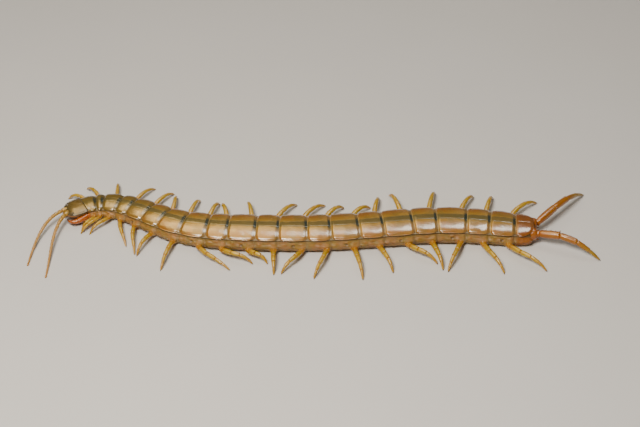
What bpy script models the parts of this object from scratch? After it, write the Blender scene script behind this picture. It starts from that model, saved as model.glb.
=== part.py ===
"""Giant centipede, a still life-size model: head, feelers, poison claws, trunk and legs as solids.

Sizes are in millimetres until a mesh is made. The head points to -X and the tail to +X, the animal's
left side faces -Y, and the floor is z = 0. Places on the animal are given by s, the distance along its
middle line from the front edge of the head plate.
"""

import math

import bmesh
import bpy
import numpy as np
from mathutils import Vector

MM = 0.001
GAP = 0.3
SHARP_EDGE = 35
UP = Vector((0, 0, 1))

# Middle line: its front end in plan, and its heading there and at the rear edge of the head.
AXIS_START = (-73.3, 3.6)
AXIS_STEP = 0.05
HEAD_LENGTH = 6.3
HEAD_WIDTH = 7.2
HEAD_HEADINGS = (33, 30)

# Trunk segments 1 to 21: length of the back plate, its width, and the heading at its rear edge.
SEGMENTS = (
    (3.3, 7.0, 11),
    (2.2, 7.2, 0),
    (5.0, 7.7, -17),
    (4.0, 8.2, -26),
    (5.8, 8.8, -30),
    (5.6, 9.4, -29),
    (6.6, 10.0, -17),
    (7.2, 10.6, -8),
    (6.0, 11.0, -4),
    (8.0, 11.3, -2),
    (6.6, 11.4, -1),
    (8.1, 11.4, 1),
    (6.7, 11.4, 4),
    (8.2, 11.4, 6),
    (7.1, 11.4, 7),
    (8.7, 11.4, 7),
    (7.1, 11.4, 2),
    (8.8, 11.3, -4),
    (6.8, 11.1, -7),
    (7.3, 10.7, -5),
    (5.7, 9.6, -4),
)
LAST_SEGMENT = len(SEGMENTS)
# The last back plate narrows to its rear edge: distance before that edge, and width.
LAST_PLATE_REAR = ((1.6, 8.6), (0.5, 7.4))

# Cross-section of the trunk: the belly's height, and the back's from the plate's width.
BELLY = 0.8
BACK_BASE = 1.0
BACK_PER_WIDTH = 0.455
MARGIN_SHARE = 0.73
# The half section from the mid-back to the mid-belly: share of the half width, then the height as a
# share of the way up from the plate's margin to the crown, or from the belly to the margin.
BACK_ARCH = ((0.0, 1.0), (0.42, 0.9), (0.78, 0.56), (1.0, 0.0))
FLANK = ((0.94, 0.87), (1.04, 0.56), (1.0, 0.2), (0.72, 0.02), (0.0, 0.0))
PLATE_RISE = 0.28
PLATE_SLOPE = 0.3
PLATE_FRONT_SHARE = 0.97

# Walking legs: swing from straight out, backwards positive, and reach from hip to foot, front to rear.
LEFT_STANCE = (
    (-62, 5.2),
    (-50, 7.4),
    (-36, 7.4),
    (38, 9.8),
    (34, 10.2),
    (3, 8.2),
    (4, 10.6),
    (60, 12.2),
    (70, 10.0),
    (60, 6.4),
    (3, 7.8),
    (-38, 9.4),
    (-24, 10.4),
    (6, 11.0),
    (15, 9.4),
    (46, 10.0),
    (12, 9.6),
    (-19, 10.8),
    (33, 11.8),
    (54, 13.6),
)
RIGHT_STANCE = (
    (-42, 6.6),
    (-30, 8.0),
    (-12, 8.6),
    (12, 9.4),
    (6, 9.6),
    (-24, 8.8),
    (-2, 9.8),
    (8, 9.4),
    (-18, 9.4),
    (-12, 10.6),
    (32, 11.6),
    (38, 11.9),
    (40, 10.2),
    (46, 9.8),
    (16, 11.2),
    (-9, 12.2),
    (15, 12.3),
    (24, 11.4),
    (10, 11.0),
    (40, 13.2),
)
LEG_SIDES = 6
# Radius along a leg: trochanter, prefemur, femur, tibia, two tarsi and the claw.
LEG_PROFILE = (
    (0.0, 0.80),
    (0.06, 0.68),
    (0.20, 0.80),
    (0.36, 0.62),
    (0.48, 0.66),
    (0.60, 0.50),
    (0.71, 0.50),
    (0.80, 0.35),
    (0.93, 0.28),
    (1.0, 0.14),
)
# Thickness of leg 1, 8 and 20 against the profile, and the lengths of those legs.
LEG_NUMBERS = (1, 8, 20)
LEG_THICKNESS = (0.74, 1.0, 1.08)
LEG_LENGTHS = (9.0, 12.4, 16.0)
HIP_HEIGHT = 2.1
HIP_OUT = 0.75
HIP_DEPTH = 1.6
HIP_PITCH = 12
HIP_SHARE_OF_SWING = 0.6
HIP_PLACES = (0.44, 0.8)
HIP_PLACE_NUMBERS = (2, 6)
COXA_FLARE = 1.12
KNEE_PER_SLACK = 0.56
KNEE_LEAST = 2.4
KNEE_MOST = 4.2
THIGH_SHARE = 0.42
SHIN_SHARE = 0.30

# Last pair of legs, left and right: foot from the hip, towards the tail and outwards.
TAIL_LEG_SIDES = 8
TAIL_LEG_FEET = ((18.3, 6.0), (15.2, 18.4))
TAIL_LEG_TURNS = (12, 44)
TAIL_HIP = (2.3, 4.0)
TAIL_HIP_BEHIND = 0.7
TAIL_HIP_PITCH = 14
TAIL_STALK_DEPTH = 3.0
TAIL_THIGH = 7.0
TAIL_SHIN = 8.0
TAIL_LEG_PROFILE = (
    (0.0, 0.98),
    (0.05, 0.94),
    (0.17, 1.18),
    (0.31, 1.02),
    (0.34, 0.94),
    (0.46, 1.02),
    (0.56, 0.84),
    (0.59, 0.76),
    (0.69, 0.74),
    (0.77, 0.56),
    (0.79, 0.50),
    (0.88, 0.42),
    (0.96, 0.28),
    (1.0, 0.14),
)
TAIL_LEG_ARCH = 6.6
# Spines on the inner and upper sides of the last legs' prefemora: places along the leg, turns round
# it from straight inwards, length and thickness, then the longer one at the end.
SPINE_PLACES = (0.10, 0.165, 0.23)
SPINE_TURNS = (5, 55)
SPINE_SIZE = (0.5, 0.2)
CORNER_SPINE_PLACE = 0.295
CORNER_SPINE_TURN = 40
CORNER_SPINE_SIZE = (0.8, 0.28)
SPINE_TIP = 0.03
SPINE_SIDES = 5
# How far out of the leg's middle a spine is rooted, against the leg's radius, and how far it leans back.
SPINE_ROOT = 0.7
SPINE_LEAN = 0.5
# Pointed process at each rear corner of the last segment: behind, out and up from its rear edge.
PROCESS_ROOT = (-0.9, 2.3, 2.1)
PROCESS_SIZE = (2.6, 0.62)
PROCESS_SPLAY = 0.12

# Head plate, in its own frame: f forward from its rear edge, sideways, z up.
HEAD_STATIONS = (0.15, 0.5, 1.2, 2.2, 3.4, 4.5, 5.3, 5.9, 6.3)
HEAD_WIDEST = 2.2
HEAD_REAR_NARROWING = 0.08
HEAD_ROUNDNESS = 2.4
HEAD_BLUNT = 0.1
HEAD_CROWN = 5.2
HEAD_MARGIN = 4.2
# The crown and the margin dip towards the front from this f on, by these heights.
HEAD_DIP_FROM = 3.4
HEAD_CROWN_DIP = 0.75
HEAD_MARGIN_DIP = 0.1
# Half of the underside: share of the half width, and height.
HEAD_UNDERSIDE = ((0.96, 3.85), (0.6, 3.5), (0.0, 3.4))

# Mouth palp under the head: control points of its curve, and its radius along it.
PALP_CURVE = ((2.6, 1.0, 3.5), (4.0, 1.5, 2.9), (5.4, 1.3, 3.0), (6.2, 0.6, 3.1))
PALP_PROFILE = ((0.0, 0.42), (0.5, 0.40), (0.85, 0.32), (1.0, 0.2))
PALP_SIDES = 6

# Feelers: turn outwards of the left and the right one at the root, radius at root and tip.
ANTENNA_ARTICLES = 18
ANTENNA_SIDES = 6
ANTENNA_ROOT = (6.9, 1.1, 3.95)
ANTENNA_TURNS = (30, -2)
ANTENNA_RADII = (0.60, 0.26)
ANTENNA_TAPER = 0.8
ANTENNA_WAIST = 0.86
ANTENNA_BULGE_PLACE = 0.6
ANTENNA_END = 0.5
# Tips of the left and right feeler in plan, and how they lie there.
ANTENNA_TIPS = ((-76.3, -20.2), (-82.1, -15.2))
ANTENNA_LIE = Vector((0.06, 1, 0))
ANTENNA_STRETCH = 6.5
ANTENNA_CLEARANCE = 0.02
# Socket of a feeler on the head: depth, radius beyond the feeler's, and flare.
SOCKET = (1.9, 0.05, 1.15)

# Poison claws, in the head's frame: start, two pulls and tip of their curve.
CLAW_CURVE = ((0.6, 2.5, 2.2), (3.0, 3.7, 2.3), (6.6, 4.3, 2.1), (6.2, 0.45, 1.9))
CLAW_SIDES = 8
CLAW_PROFILE = (
    (0.0, 1.12),
    (0.10, 1.18),
    (0.30, 1.10),
    (0.45, 0.90),
    (0.50, 0.78),
    (0.60, 0.74),
    (0.70, 0.60),
    (0.82, 0.42),
    (0.92, 0.28),
    (1.0, 0.10),
)
CLAW_STALK_DEPTH = 2.2
# Plate that carries the poison claws, and its tongue between them: f, half width, low and high.
COLLAR = ((-3.0, 3.1, 0.9, 2.8), (-0.4, 3.1, 0.9, 3.1), (0.1, 2.7, 1.0, 3.0))
TONGUE = ((-1.0, 0.95, 0.9, 2.9), (2.5, 0.8, 1.2, 2.9))

# Eyes: a patch on the head, the way it faces, and the lenses that stand on it.
EYE_PLACE = (4.75, 2.35)
EYE_LEAN = (0.3, 0.55, 0.78)
EYE_RADIUS = 0.58
EYE_SIDES = 10
EYE_THICKNESS = 0.5
EYE_SINK = 0.3
EYE_CUT_ABOVE = 2.0
OCELLI = 4
OCELLUS_RADIUS = 0.27
OCELLUS_SIDES = 6
OCELLUS_SPREAD = 0.56
# Dome of a lens: height and radius of its rings, against the lens's radius.
OCELLUS_DOME = ((-0.5, 0.8), (0.3, 0.9), (0.75, 0.55), (0.98, 0.12))

MATERIALS = {
    "back": ((0.30, 0.22, 0.09), 0.28),
    "head_plate": ((0.24, 0.17, 0.05), 0.28),
    "leg": ((0.62, 0.36, 0.06), 0.32),
    "claw": ((0.50, 0.12, 0.03), 0.25),
    "feeler": ((0.60, 0.33, 0.08), 0.40),
    "tail_leg": ((0.62, 0.26, 0.05), 0.30),
    "eye": ((0.02, 0.02, 0.02), 0.10),
}


class Axis:
    """The animal's middle line in plan."""

    def __init__(self):
        lengths = [HEAD_LENGTH] + [segment[0] for segment in SEGMENTS]
        headings = list(HEAD_HEADINGS) + [segment[2] for segment in SEGMENTS]
        self.joints = np.concatenate(([0.0], np.cumsum(lengths)))
        self.reach = np.arange(0.0, self.joints[-1] + AXIS_STEP, AXIS_STEP)
        self.heading = np.radians(np.interp(self.reach, self.joints, headings))
        steps = np.stack((np.cos(self.heading), np.sin(self.heading)), axis=1) * AXIS_STEP
        self.plan = np.array(AXIS_START) + np.cumsum(steps, axis=0) - steps[0]

    def frame(self, s):
        """The point at s on the floor, the direction to the tail there, and the one to the left."""
        heading = np.interp(s, self.reach, self.heading)
        point = Vector([np.interp(s, self.reach, self.plan[:, k]) for k in (0, 1)] + [0.0])
        tail = Vector((math.cos(heading), math.sin(heading), 0))
        left = Vector((math.sin(heading), -math.cos(heading), 0))
        return point, tail, left


AXIS = Axis()


def clear_scene():
    """Remove every object that the file starts with."""
    for thing in list(bpy.data.objects):
        bpy.data.objects.remove(thing, do_unlink=True)


def make_material(name):
    """A Principled material in the named colour."""
    colour, roughness = MATERIALS[name]
    made = bpy.data.materials.new(name)
    made.use_nodes = True
    shader = made.node_tree.nodes["Principled BSDF"]
    shader.inputs["Base Color"].default_value = (*colour, 1.0)
    shader.inputs["Roughness"].default_value = roughness
    made.diffuse_color = (*colour, 1.0)
    return made


def loft(rings):
    """A closed mesh through rings of equally many points, with flat ends."""
    shape = bmesh.new()
    loops = [[shape.verts.new(point * MM) for point in ring] for ring in rings]
    for before, after in zip(loops, loops[1:]):
        for i in range(len(before)):
            j = (i + 1) % len(before)
            shape.faces.new((before[i], before[j], after[j], after[i]))
    shape.faces.new(loops[0])
    shape.faces.new(loops[-1])
    bmesh.ops.recalc_face_normals(shape, faces=shape.faces)
    bmesh.ops.triangulate(shape, faces=shape.faces[:])
    mesh = bpy.data.meshes.new("loft")
    shape.to_mesh(mesh)
    shape.free()
    return mesh


def ring_round(centre, side, over, radius, sides):
    """Points of a round section, flat on top, in the plane of two directions."""
    turns = [math.tau * (k + 0.5) / sides for k in range(sides)]
    return [centre + side * (radius * math.cos(a)) + over * (radius * math.sin(a)) for a in turns]


def bezier(points, t):
    """Point and direction at t on a cubic curve with these four control points."""
    a, b, c, d = points
    u = 1 - t
    place = a * u**3 + b * (3 * u * u * t) + c * (3 * u * t * t) + d * t**3
    slope = (b - a) * (u * u) + (c - b) * (2 * u * t) + (d - c) * (t * t)
    return place, slope.normalized()


def curve_by_length(points, shares, samples=200):
    """Points and directions on a cubic curve at these shares of its length."""
    ts = [k / samples for k in range(samples + 1)]
    places = [bezier(points, t)[0] for t in ts]
    run = [0.0]
    for before, after in zip(places, places[1:]):
        run.append(run[-1] + (after - before).length)
    return [bezier(points, float(np.interp(share * run[-1], run, ts))) for share in shares]


def tube(points, profile, sides, flat_foot=False):
    """A jointed limb along a cubic curve; a flat foot ends in the plane of the floor."""
    rings = []
    stations = curve_by_length(points, [share for share, radius in profile])
    for (place, direction), (share, radius) in zip(stations, profile):
        side = direction.cross(UP).normalized()
        over = side.cross(direction)
        if flat_foot and share == 1.0:
            over = UP.cross(side)
        rings.append(ring_round(place, side, over, radius, sides))
    return loft(rings)


def stub(end, direction, depth, radius, flare, sides, inward=None):
    """A short stalk whose flat end faces the limb that starts at a gap beyond it."""
    rings = []
    for centre, way, size in (
        (end - (inward or direction) * depth, inward or direction, radius * flare),
        (end - direction * GAP, direction, radius),
    ):
        side = way.cross(UP).normalized()
        rings.append(ring_round(centre, side, side.cross(way), size, sides))
    return loft(rings)


def add_object(name, mesh, material):
    """An object of this mesh, its name the node's name."""
    mesh.name = name
    thing = bpy.data.objects.new(name, mesh)
    bpy.context.collection.objects.link(thing)
    mesh.materials.clear()
    mesh.materials.append(material)
    mesh.shade_smooth()
    mesh.set_sharp_from_angle(angle=math.radians(SHARP_EDGE))
    return thing


def evaluated_copy(thing):
    """The mesh of an object as its modifiers leave it."""
    graph = bpy.context.evaluated_depsgraph_get()
    return bpy.data.meshes.new_from_object(thing.evaluated_get(graph))


def keep_largest_surface(mesh):
    """Drop every closed surface of a mesh but the one with most faces, and split it in triangles."""
    shape = bmesh.new()
    shape.from_mesh(mesh)
    left = set(shape.faces)
    islands = []
    while left:
        island = {left.pop()}
        edge_of_island = list(island)
        while edge_of_island:
            face = edge_of_island.pop()
            near = {other for edge in face.edges for other in edge.link_faces} & left
            left -= near
            island |= near
            edge_of_island.extend(near)
        islands.append(island)
    largest = max(islands, key=len)
    scraps = [face for island in islands if island is not largest for face in island]
    bmesh.ops.delete(shape, geom=scraps, context="FACES")
    bmesh.ops.triangulate(shape, faces=shape.faces[:])
    shape.to_mesh(mesh)
    shape.free()
    return mesh


def combine(core, pieces, operation="UNION"):
    """Join pieces to a core mesh, or cut them from it, with one Boolean."""
    holder = bpy.data.collections.new("pieces")
    for piece in pieces:
        thing = bpy.data.objects.new("piece", piece)
        holder.objects.link(thing)
    body = bpy.data.objects.new("core", core)
    bpy.context.collection.objects.link(body)
    joiner = body.modifiers.new("join", "BOOLEAN")
    joiner.operation = operation
    joiner.operand_type = "COLLECTION"
    joiner.collection = holder
    joiner.solver = "EXACT"
    joined = evaluated_copy(body)
    for thing in [body] + list(holder.objects):
        bpy.data.objects.remove(thing, do_unlink=True)
    bpy.data.collections.remove(holder)
    return keep_largest_surface(joined)


def trunk_width(s):
    """Width of the back plates at s."""
    middles = (AXIS.joints[1:-1] + AXIS.joints[2:]) / 2
    return float(np.interp(s, middles, [segment[1] for segment in SEGMENTS]))


def trunk_heights(width):
    """Heights of the crown and of the plate's margin for a plate of this width."""
    crown = BELLY + BACK_BASE + BACK_PER_WIDTH * width
    return crown, BELLY + MARGIN_SHARE * (crown - BELLY)


def trunk_ring(s, plate, width):
    """The trunk's cross-section at s: plate is 1 on the plates and 0 in the folds between them."""
    point, _, left = AXIS.frame(s)
    crown, margin = trunk_heights(width)
    sunk = PLATE_RISE * (1 - plate)
    half = width / 2
    outline = [(share * (half - sunk), margin + up * (crown - margin) - sunk) for share, up in BACK_ARCH]
    for share, up in FLANK:
        lift = sunk if up < MARGIN_SHARE / 2 else 0
        outline.append((share * (half - sunk), BELLY + up * (margin - BELLY) + lift))
    mirrored = [(-y, z) for y, z in outline[-2:0:-1]]
    return [point + left * y + UP * z for y, z in outline + mirrored]


def segment_rings(number):
    """Rings of one trunk segment: fold, front, middle and rear of its plates, fold."""
    start, end = AXIS.joints[number], AXIS.joints[number + 1]
    middle = (start + end) / 2
    front, rear = start + GAP / 2 + PLATE_SLOPE, end - GAP / 2 - PLATE_SLOPE / 2
    return [
        trunk_ring(start + GAP / 2, 0, trunk_width(start)),
        trunk_ring(front, 1, trunk_width(front) * PLATE_FRONT_SHARE),
        trunk_ring(middle, 1, trunk_width(middle)),
        trunk_ring(rear, 1, trunk_width(rear)),
        trunk_ring(end - GAP / 2, 0, trunk_width(end)),
    ]


def hip(number, sign):
    """Where a walking leg starts, the way it sets out, and the frame of its segment there."""
    start, end = AXIS.joints[number], AXIS.joints[number + 1]
    place = float(np.interp(number, HIP_PLACE_NUMBERS, HIP_PLACES))
    s = start + place * (end - start)
    point, tail, left = AXIS.frame(s)
    outward = left * sign
    stance = LEFT_STANCE if sign > 0 else RIGHT_STANCE
    swing = math.radians(stance[number - 1][0])
    turn = swing * HIP_SHARE_OF_SWING
    level = outward * math.cos(turn) + tail * math.sin(turn)
    pitch = math.radians(HIP_PITCH)
    direction = level * math.cos(pitch) + UP * math.sin(pitch)
    base = point + outward * (trunk_width(s) / 2 + HIP_OUT) + UP * HIP_HEIGHT
    return base, direction, outward, tail


def leg_thickness(number):
    """Thickness of a walking leg against the profile."""
    return float(np.interp(number, LEG_NUMBERS, LEG_THICKNESS))


def leg_curve(number, sign):
    """Control points of a walking leg, from the hip over the knee to the floor."""
    base, direction, outward, tail = hip(number, sign)
    swing, reach = (LEFT_STANCE if sign > 0 else RIGHT_STANCE)[number - 1]
    swing = math.radians(swing)
    length = float(np.interp(number, LEG_NUMBERS, LEG_LENGTHS))
    slack = math.sqrt(max(length**2 - reach**2, 0))
    knee = min(KNEE_MOST, max(KNEE_LEAST, KNEE_PER_SLACK * slack))
    way = outward * math.cos(swing) + tail * math.sin(swing)
    foot = base + way * reach
    foot.z = 0
    thigh = base + direction * (THIGH_SHARE * reach)
    shin = foot - way * (SHIN_SHARE * reach) + UP * knee
    return base, thigh, shin, foot


def coxa(number, sign):
    """The short stalk on the trunk that carries a walking leg."""
    base, direction, outward, _ = hip(number, sign)
    radius = LEG_PROFILE[0][1] * leg_thickness(number)
    return stub(base, direction, HIP_DEPTH, radius, COXA_FLARE, LEG_SIDES, inward=outward)


def add_legs(material):
    """The twenty pairs of walking legs, each its own object."""
    for name, sign in (("left", 1), ("right", -1)):
        for number in range(1, len(LEFT_STANCE) + 1):
            scale = leg_thickness(number)
            profile = [(share, radius * scale) for share, radius in LEG_PROFILE]
            mesh = tube(leg_curve(number, sign), profile, LEG_SIDES, flat_foot=True)
            add_object(f"leg_{name}_{number:02d}", mesh, material)


def add_trunk(material):
    """The trunk in ten pairs of segments and the last one, each with the stalks of its legs."""
    for first in range(1, LAST_SEGMENT, 2):
        rings = segment_rings(first) + segment_rings(first + 1)
        pieces = [coxa(number, sign) for number in (first, first + 1) for sign in (1, -1)]
        if first == 1:
            pieces += collar_pieces()
        mesh = combine(loft(rings), pieces)
        add_object(f"trunk_{first:02d}_{first + 1:02d}", mesh, material)
    pieces = [tail_stalk(sign) for sign in (1, -1)] + [tail_process(sign) for sign in (1, -1)]
    add_object(f"trunk_{LAST_SEGMENT}", combine(loft(last_segment_rings()), pieces), material)


def last_segment_rings():
    """The last segment, whose plates narrow to a rounded rear edge."""
    rings = segment_rings(LAST_SEGMENT)[:3]
    return rings + [trunk_ring(AXIS.joints[-1] - before, 1, width) for before, width in LAST_PLATE_REAR]


def tail_hip(sign):
    """Where a last leg starts and the way it sets out."""
    point, tail, left = AXIS.frame(AXIS.joints[-1])
    turn = math.radians(TAIL_LEG_TURNS[0] if sign > 0 else TAIL_LEG_TURNS[1])
    outward = left * sign
    pitch = math.radians(TAIL_HIP_PITCH)
    level = tail * math.cos(turn) + outward * math.sin(turn)
    direction = level * math.cos(pitch) + UP * math.sin(pitch)
    out, height = TAIL_HIP
    return point + tail * TAIL_HIP_BEHIND + outward * out + UP * height, direction, outward, tail


def spine(root, way, size):
    """A tapered spine from its sunk root."""
    length, radius = size
    side = way.orthogonal().normalized()
    over = side.cross(way)
    ends = ((root, radius), (root + way * length, SPINE_TIP))
    return loft([ring_round(end, side, over, width, SPINE_SIDES) for end, width in ends])


def tail_process(sign):
    """The pointed process at a rear corner of the last segment."""
    point, tail, left = AXIS.frame(AXIS.joints[-1])
    behind, out, height = PROCESS_ROOT
    root = point + tail * behind + left * (sign * out) + UP * height
    way = (tail + left * (sign * PROCESS_SPLAY)).normalized()
    return spine(root, way, PROCESS_SIZE)


def tail_leg_spines(points, sign):
    """Spines of a last leg, in two rows along its prefemur, and one longer at the prefemur's end."""
    rows = [(place, turn, SPINE_SIZE) for place in SPINE_PLACES for turn in SPINE_TURNS]
    rows.append((CORNER_SPINE_PLACE, CORNER_SPINE_TURN, CORNER_SPINE_SIZE))
    spines = []
    for place, turn, size in rows:
        centre, direction = curve_by_length(points, [place])[0]
        inward = direction.cross(UP).normalized() * -sign
        angle = math.radians(turn)
        normal = inward * math.cos(angle) + UP * math.sin(angle)
        radius = float(np.interp(place, *zip(*TAIL_LEG_PROFILE)))
        way = (normal + direction * SPINE_LEAN).normalized()
        spines.append(spine(centre + normal * (radius * SPINE_ROOT), way, size))
    return spines


def tail_stalk(sign):
    """The stalk of a last leg."""
    base, direction, _, _ = tail_hip(sign)
    return stub(base, direction, TAIL_STALK_DEPTH, TAIL_LEG_PROFILE[0][1], COXA_FLARE, TAIL_LEG_SIDES)


def add_tail_legs(material):
    """The last pair of legs, thick and spread behind the body in an arch."""
    for name, sign, (back, out) in (("left", 1, TAIL_LEG_FEET[0]), ("right", -1, TAIL_LEG_FEET[1])):
        base, direction, outward, tail = tail_hip(sign)
        foot = base + tail * back + outward * out
        foot.z = 0
        way = (foot - base).normalized()
        thigh = base + direction * TAIL_THIGH
        shin = foot - way * TAIL_SHIN
        shin.z = TAIL_LEG_ARCH
        points = (base, thigh, shin, foot)
        mesh = tube(points, TAIL_LEG_PROFILE, TAIL_LEG_SIDES, flat_foot=True)
        add_object(f"tail_leg_{name}", combine(mesh, tail_leg_spines(points, sign)), material)


def head_frame():
    """The middle of the head's rear edge on the floor, and its forward and left directions."""
    point, tail, left = AXIS.frame(HEAD_LENGTH)
    return point, -tail, left


def on_head(f, y, z):
    """A point given in the head's frame."""
    point, forward, left = head_frame()
    return point + forward * f + left * y + UP * z


def head_half_width(f):
    """Half the head plate's width at f."""
    half = HEAD_WIDTH / 2
    if f < HEAD_WIDEST:
        return half * (1 - HEAD_REAR_NARROWING * ((HEAD_WIDEST - f) / HEAD_WIDEST) ** 2)
    share = (f - HEAD_WIDEST) / (HEAD_LENGTH + HEAD_BLUNT - HEAD_WIDEST)
    return half * (1 - share**HEAD_ROUNDNESS) ** (1 / HEAD_ROUNDNESS)


def head_heights(f):
    """Heights of the head's crown and of its plate's margin at f."""
    dip = max(0.0, (f - HEAD_DIP_FROM) / (HEAD_LENGTH - HEAD_DIP_FROM)) ** 2
    return HEAD_CROWN - HEAD_CROWN_DIP * dip, HEAD_MARGIN - HEAD_MARGIN_DIP * dip


def head_ring(f):
    """The head's cross-section at f: an arched plate over a flat underside."""
    half = head_half_width(f)
    crown, margin = head_heights(f)
    outline = [(share * half, margin + up * (crown - margin)) for share, up in BACK_ARCH]
    outline += [(share * half, height) for share, height in HEAD_UNDERSIDE]
    mirrored = [(-y, z) for y, z in outline[-2:0:-1]]
    return [on_head(f, y, z) for y, z in outline + mirrored]


def antenna_root(sign):
    """Where a feeler starts and the way it sets out."""
    point, forward, left = head_frame()
    turn = math.radians(ANTENNA_TURNS[0] if sign > 0 else ANTENNA_TURNS[1])
    direction = forward * math.cos(turn) + left * (sign * math.sin(turn))
    f, y, z = ANTENNA_ROOT
    return on_head(f, y * sign, z), direction


def eye_frame(sign):
    """Middle of an eye patch on the head's surface, the way it faces, and two directions along it."""
    point, forward, left = head_frame()
    f, y = EYE_PLACE
    crown, margin = head_heights(f)
    shares, ups = zip(*BACK_ARCH)
    z = margin + float(np.interp(y / head_half_width(f), shares, ups)) * (crown - margin)
    lean_f, lean_y, lean_z = EYE_LEAN
    facing = (forward * lean_f + left * (lean_y * sign) + UP * lean_z).normalized()
    along = facing.cross(UP).normalized()
    return on_head(f, y * sign, z), facing, along, along.cross(facing)


def eye_disc(sign, radius, low, high):
    """A short round block on an eye's axis, from low to high along the way it faces."""
    centre, facing, along, across = eye_frame(sign)
    ends = (centre + facing * low, centre + facing * high)
    return loft([ring_round(end, along, across, radius, EYE_SIDES) for end in ends])


def ocellus(centre, facing, along, across):
    """A domed lens, sunk by half in the eye patch."""
    rings = []
    for height, width in OCELLUS_DOME:
        middle = centre + facing * (height * OCELLUS_RADIUS)
        rings.append(ring_round(middle, along, across, width * OCELLUS_RADIUS, OCELLUS_SIDES))
    return loft(rings)


def add_eyes(material):
    """Each eye is a small patch with four domed lenses."""
    for name, sign in (("left", 1), ("right", -1)):
        centre, facing, along, across = eye_frame(sign)
        top = EYE_THICKNESS - EYE_SINK
        patch = eye_disc(sign, EYE_RADIUS, -EYE_SINK, top)
        lenses = []
        for k in range(OCELLI):
            turn = math.tau * (k + 0.5) / OCELLI
            offset = (along * math.cos(turn) + across * math.sin(turn)) * (EYE_RADIUS * OCELLUS_SPREAD)
            lenses.append(ocellus(centre + offset + facing * top, facing, along, across))
        add_object(f"eye_{name}", combine(patch, lenses), material)


def mouth_palp(sign):
    """A short mouth palp under the head."""
    points = [on_head(f, y * sign, z) for f, y, z in PALP_CURVE]
    return tube(points, PALP_PROFILE, PALP_SIDES)


def add_head(material):
    """The head plate with feeler sockets, mouth palps, and a hollow for each eye."""
    pieces = [mouth_palp(sign) for sign in (1, -1)]
    depth, extra, flare = SOCKET
    for sign in (1, -1):
        root, direction = antenna_root(sign)
        pieces.append(stub(root, direction, depth, ANTENNA_RADII[0] + extra, flare, ANTENNA_SIDES))
    solid = combine(loft([head_ring(f) for f in HEAD_STATIONS]), pieces)
    hollows = [eye_disc(sign, EYE_RADIUS + GAP, -EYE_SINK - GAP, EYE_CUT_ABOVE) for sign in (1, -1)]
    add_object("head", combine(solid, hollows, "DIFFERENCE"), material)


def add_feelers(material):
    """Two feelers of many small articles, arched down to lie on the floor."""
    thick, thin = ANTENNA_RADII
    profile = []
    for k in range(ANTENNA_ARTICLES):
        start, bulge = k / ANTENNA_ARTICLES, (k + ANTENNA_BULGE_PLACE) / ANTENNA_ARTICLES
        radius = thick + (thin - thick) * start**ANTENNA_TAPER
        profile += [(start, radius * (ANTENNA_WAIST if k else 1)), (bulge, radius)]
    profile.append((1.0, thin * ANTENNA_END))
    for name, sign, tip in (("left", 1, ANTENNA_TIPS[0]), ("right", -1, ANTENNA_TIPS[1])):
        root, direction = antenna_root(sign)
        end = Vector((*tip, thin + ANTENNA_CLEARANCE))
        bend = root + direction * ANTENNA_STRETCH
        lie = end + ANTENNA_LIE * ANTENNA_STRETCH
        mesh = tube((root, bend, lie, end), profile, ANTENNA_SIDES)
        add_object(f"antenna_{name}", mesh, material)


def block(stations):
    """A flat block in the head's frame from (f, half width, low, high) at each station."""
    rings = []
    for f, half, low, high in stations:
        outline = ((half, low), (half, high), (-half, high), (-half, low))
        rings.append([on_head(f, y, z) for y, z in outline])
    return loft(rings)


def collar_pieces():
    """The plate under the head that carries the poison claws, its tongue, and the claws' stalks."""
    pieces = [block(COLLAR), block(TONGUE)]
    for sign in (1, -1):
        start, direction = bezier(claw_curve(sign), 0.0)
        pieces.append(stub(start, direction, CLAW_STALK_DEPTH, CLAW_PROFILE[0][1], 1.0, CLAW_SIDES))
    return pieces


def claw_curve(sign):
    """Control points of a poison claw."""
    return tuple(on_head(f, y * sign, z) for f, y, z in CLAW_CURVE)


def add_claws(material):
    """The two poison claws, curved round the sides of the head to meet under its front."""
    for name, sign in (("left", 1), ("right", -1)):
        add_object(f"poison_claw_{name}", tube(claw_curve(sign), CLAW_PROFILE, CLAW_SIDES), material)


def main():
    """Build the whole animal."""
    clear_scene()
    materials = {name: make_material(name) for name in MATERIALS}
    add_head(materials["head_plate"])
    add_eyes(materials["eye"])
    add_feelers(materials["feeler"])
    add_claws(materials["claw"])
    add_trunk(materials["back"])
    add_legs(materials["leg"])
    add_tail_legs(materials["tail_leg"])


main()
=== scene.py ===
"""Giant centipede, its looks: plates, skin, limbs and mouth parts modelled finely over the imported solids.

Sizes are in millimetres until a mesh is made. The head points to -X, the tail to +X, the animal's left
side faces -Y and the floor is z = 0. Places on the animal are given by s, the distance along its middle
line from the front edge of the head plate. Each surface carries float fields, such as how far along a
plate a point lies, and the materials read them.
"""

import math

import bmesh
import bpy
import numpy as np
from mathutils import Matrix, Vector


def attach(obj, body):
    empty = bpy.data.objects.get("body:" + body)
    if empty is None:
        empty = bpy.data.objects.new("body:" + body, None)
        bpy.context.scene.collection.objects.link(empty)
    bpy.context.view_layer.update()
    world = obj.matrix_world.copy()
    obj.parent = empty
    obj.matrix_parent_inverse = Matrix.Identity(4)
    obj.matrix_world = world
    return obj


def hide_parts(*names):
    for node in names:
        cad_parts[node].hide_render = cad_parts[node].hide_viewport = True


MM = 0.001
UP = np.array((0.0, 0.0, 1.0))
SIDES = (("left", 1), ("right", -1))

# The camera looks down on the animal's left side.
CAMERA_AIM = np.array((1.57, 7.8, 0.0))
CAMERA_DISTANCE = 450
CAMERA_ELEVATION = 41
CAMERA_LENS = 85
CAMERA_SENSOR = 36
CAMERA_NEAREST = 10

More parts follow.
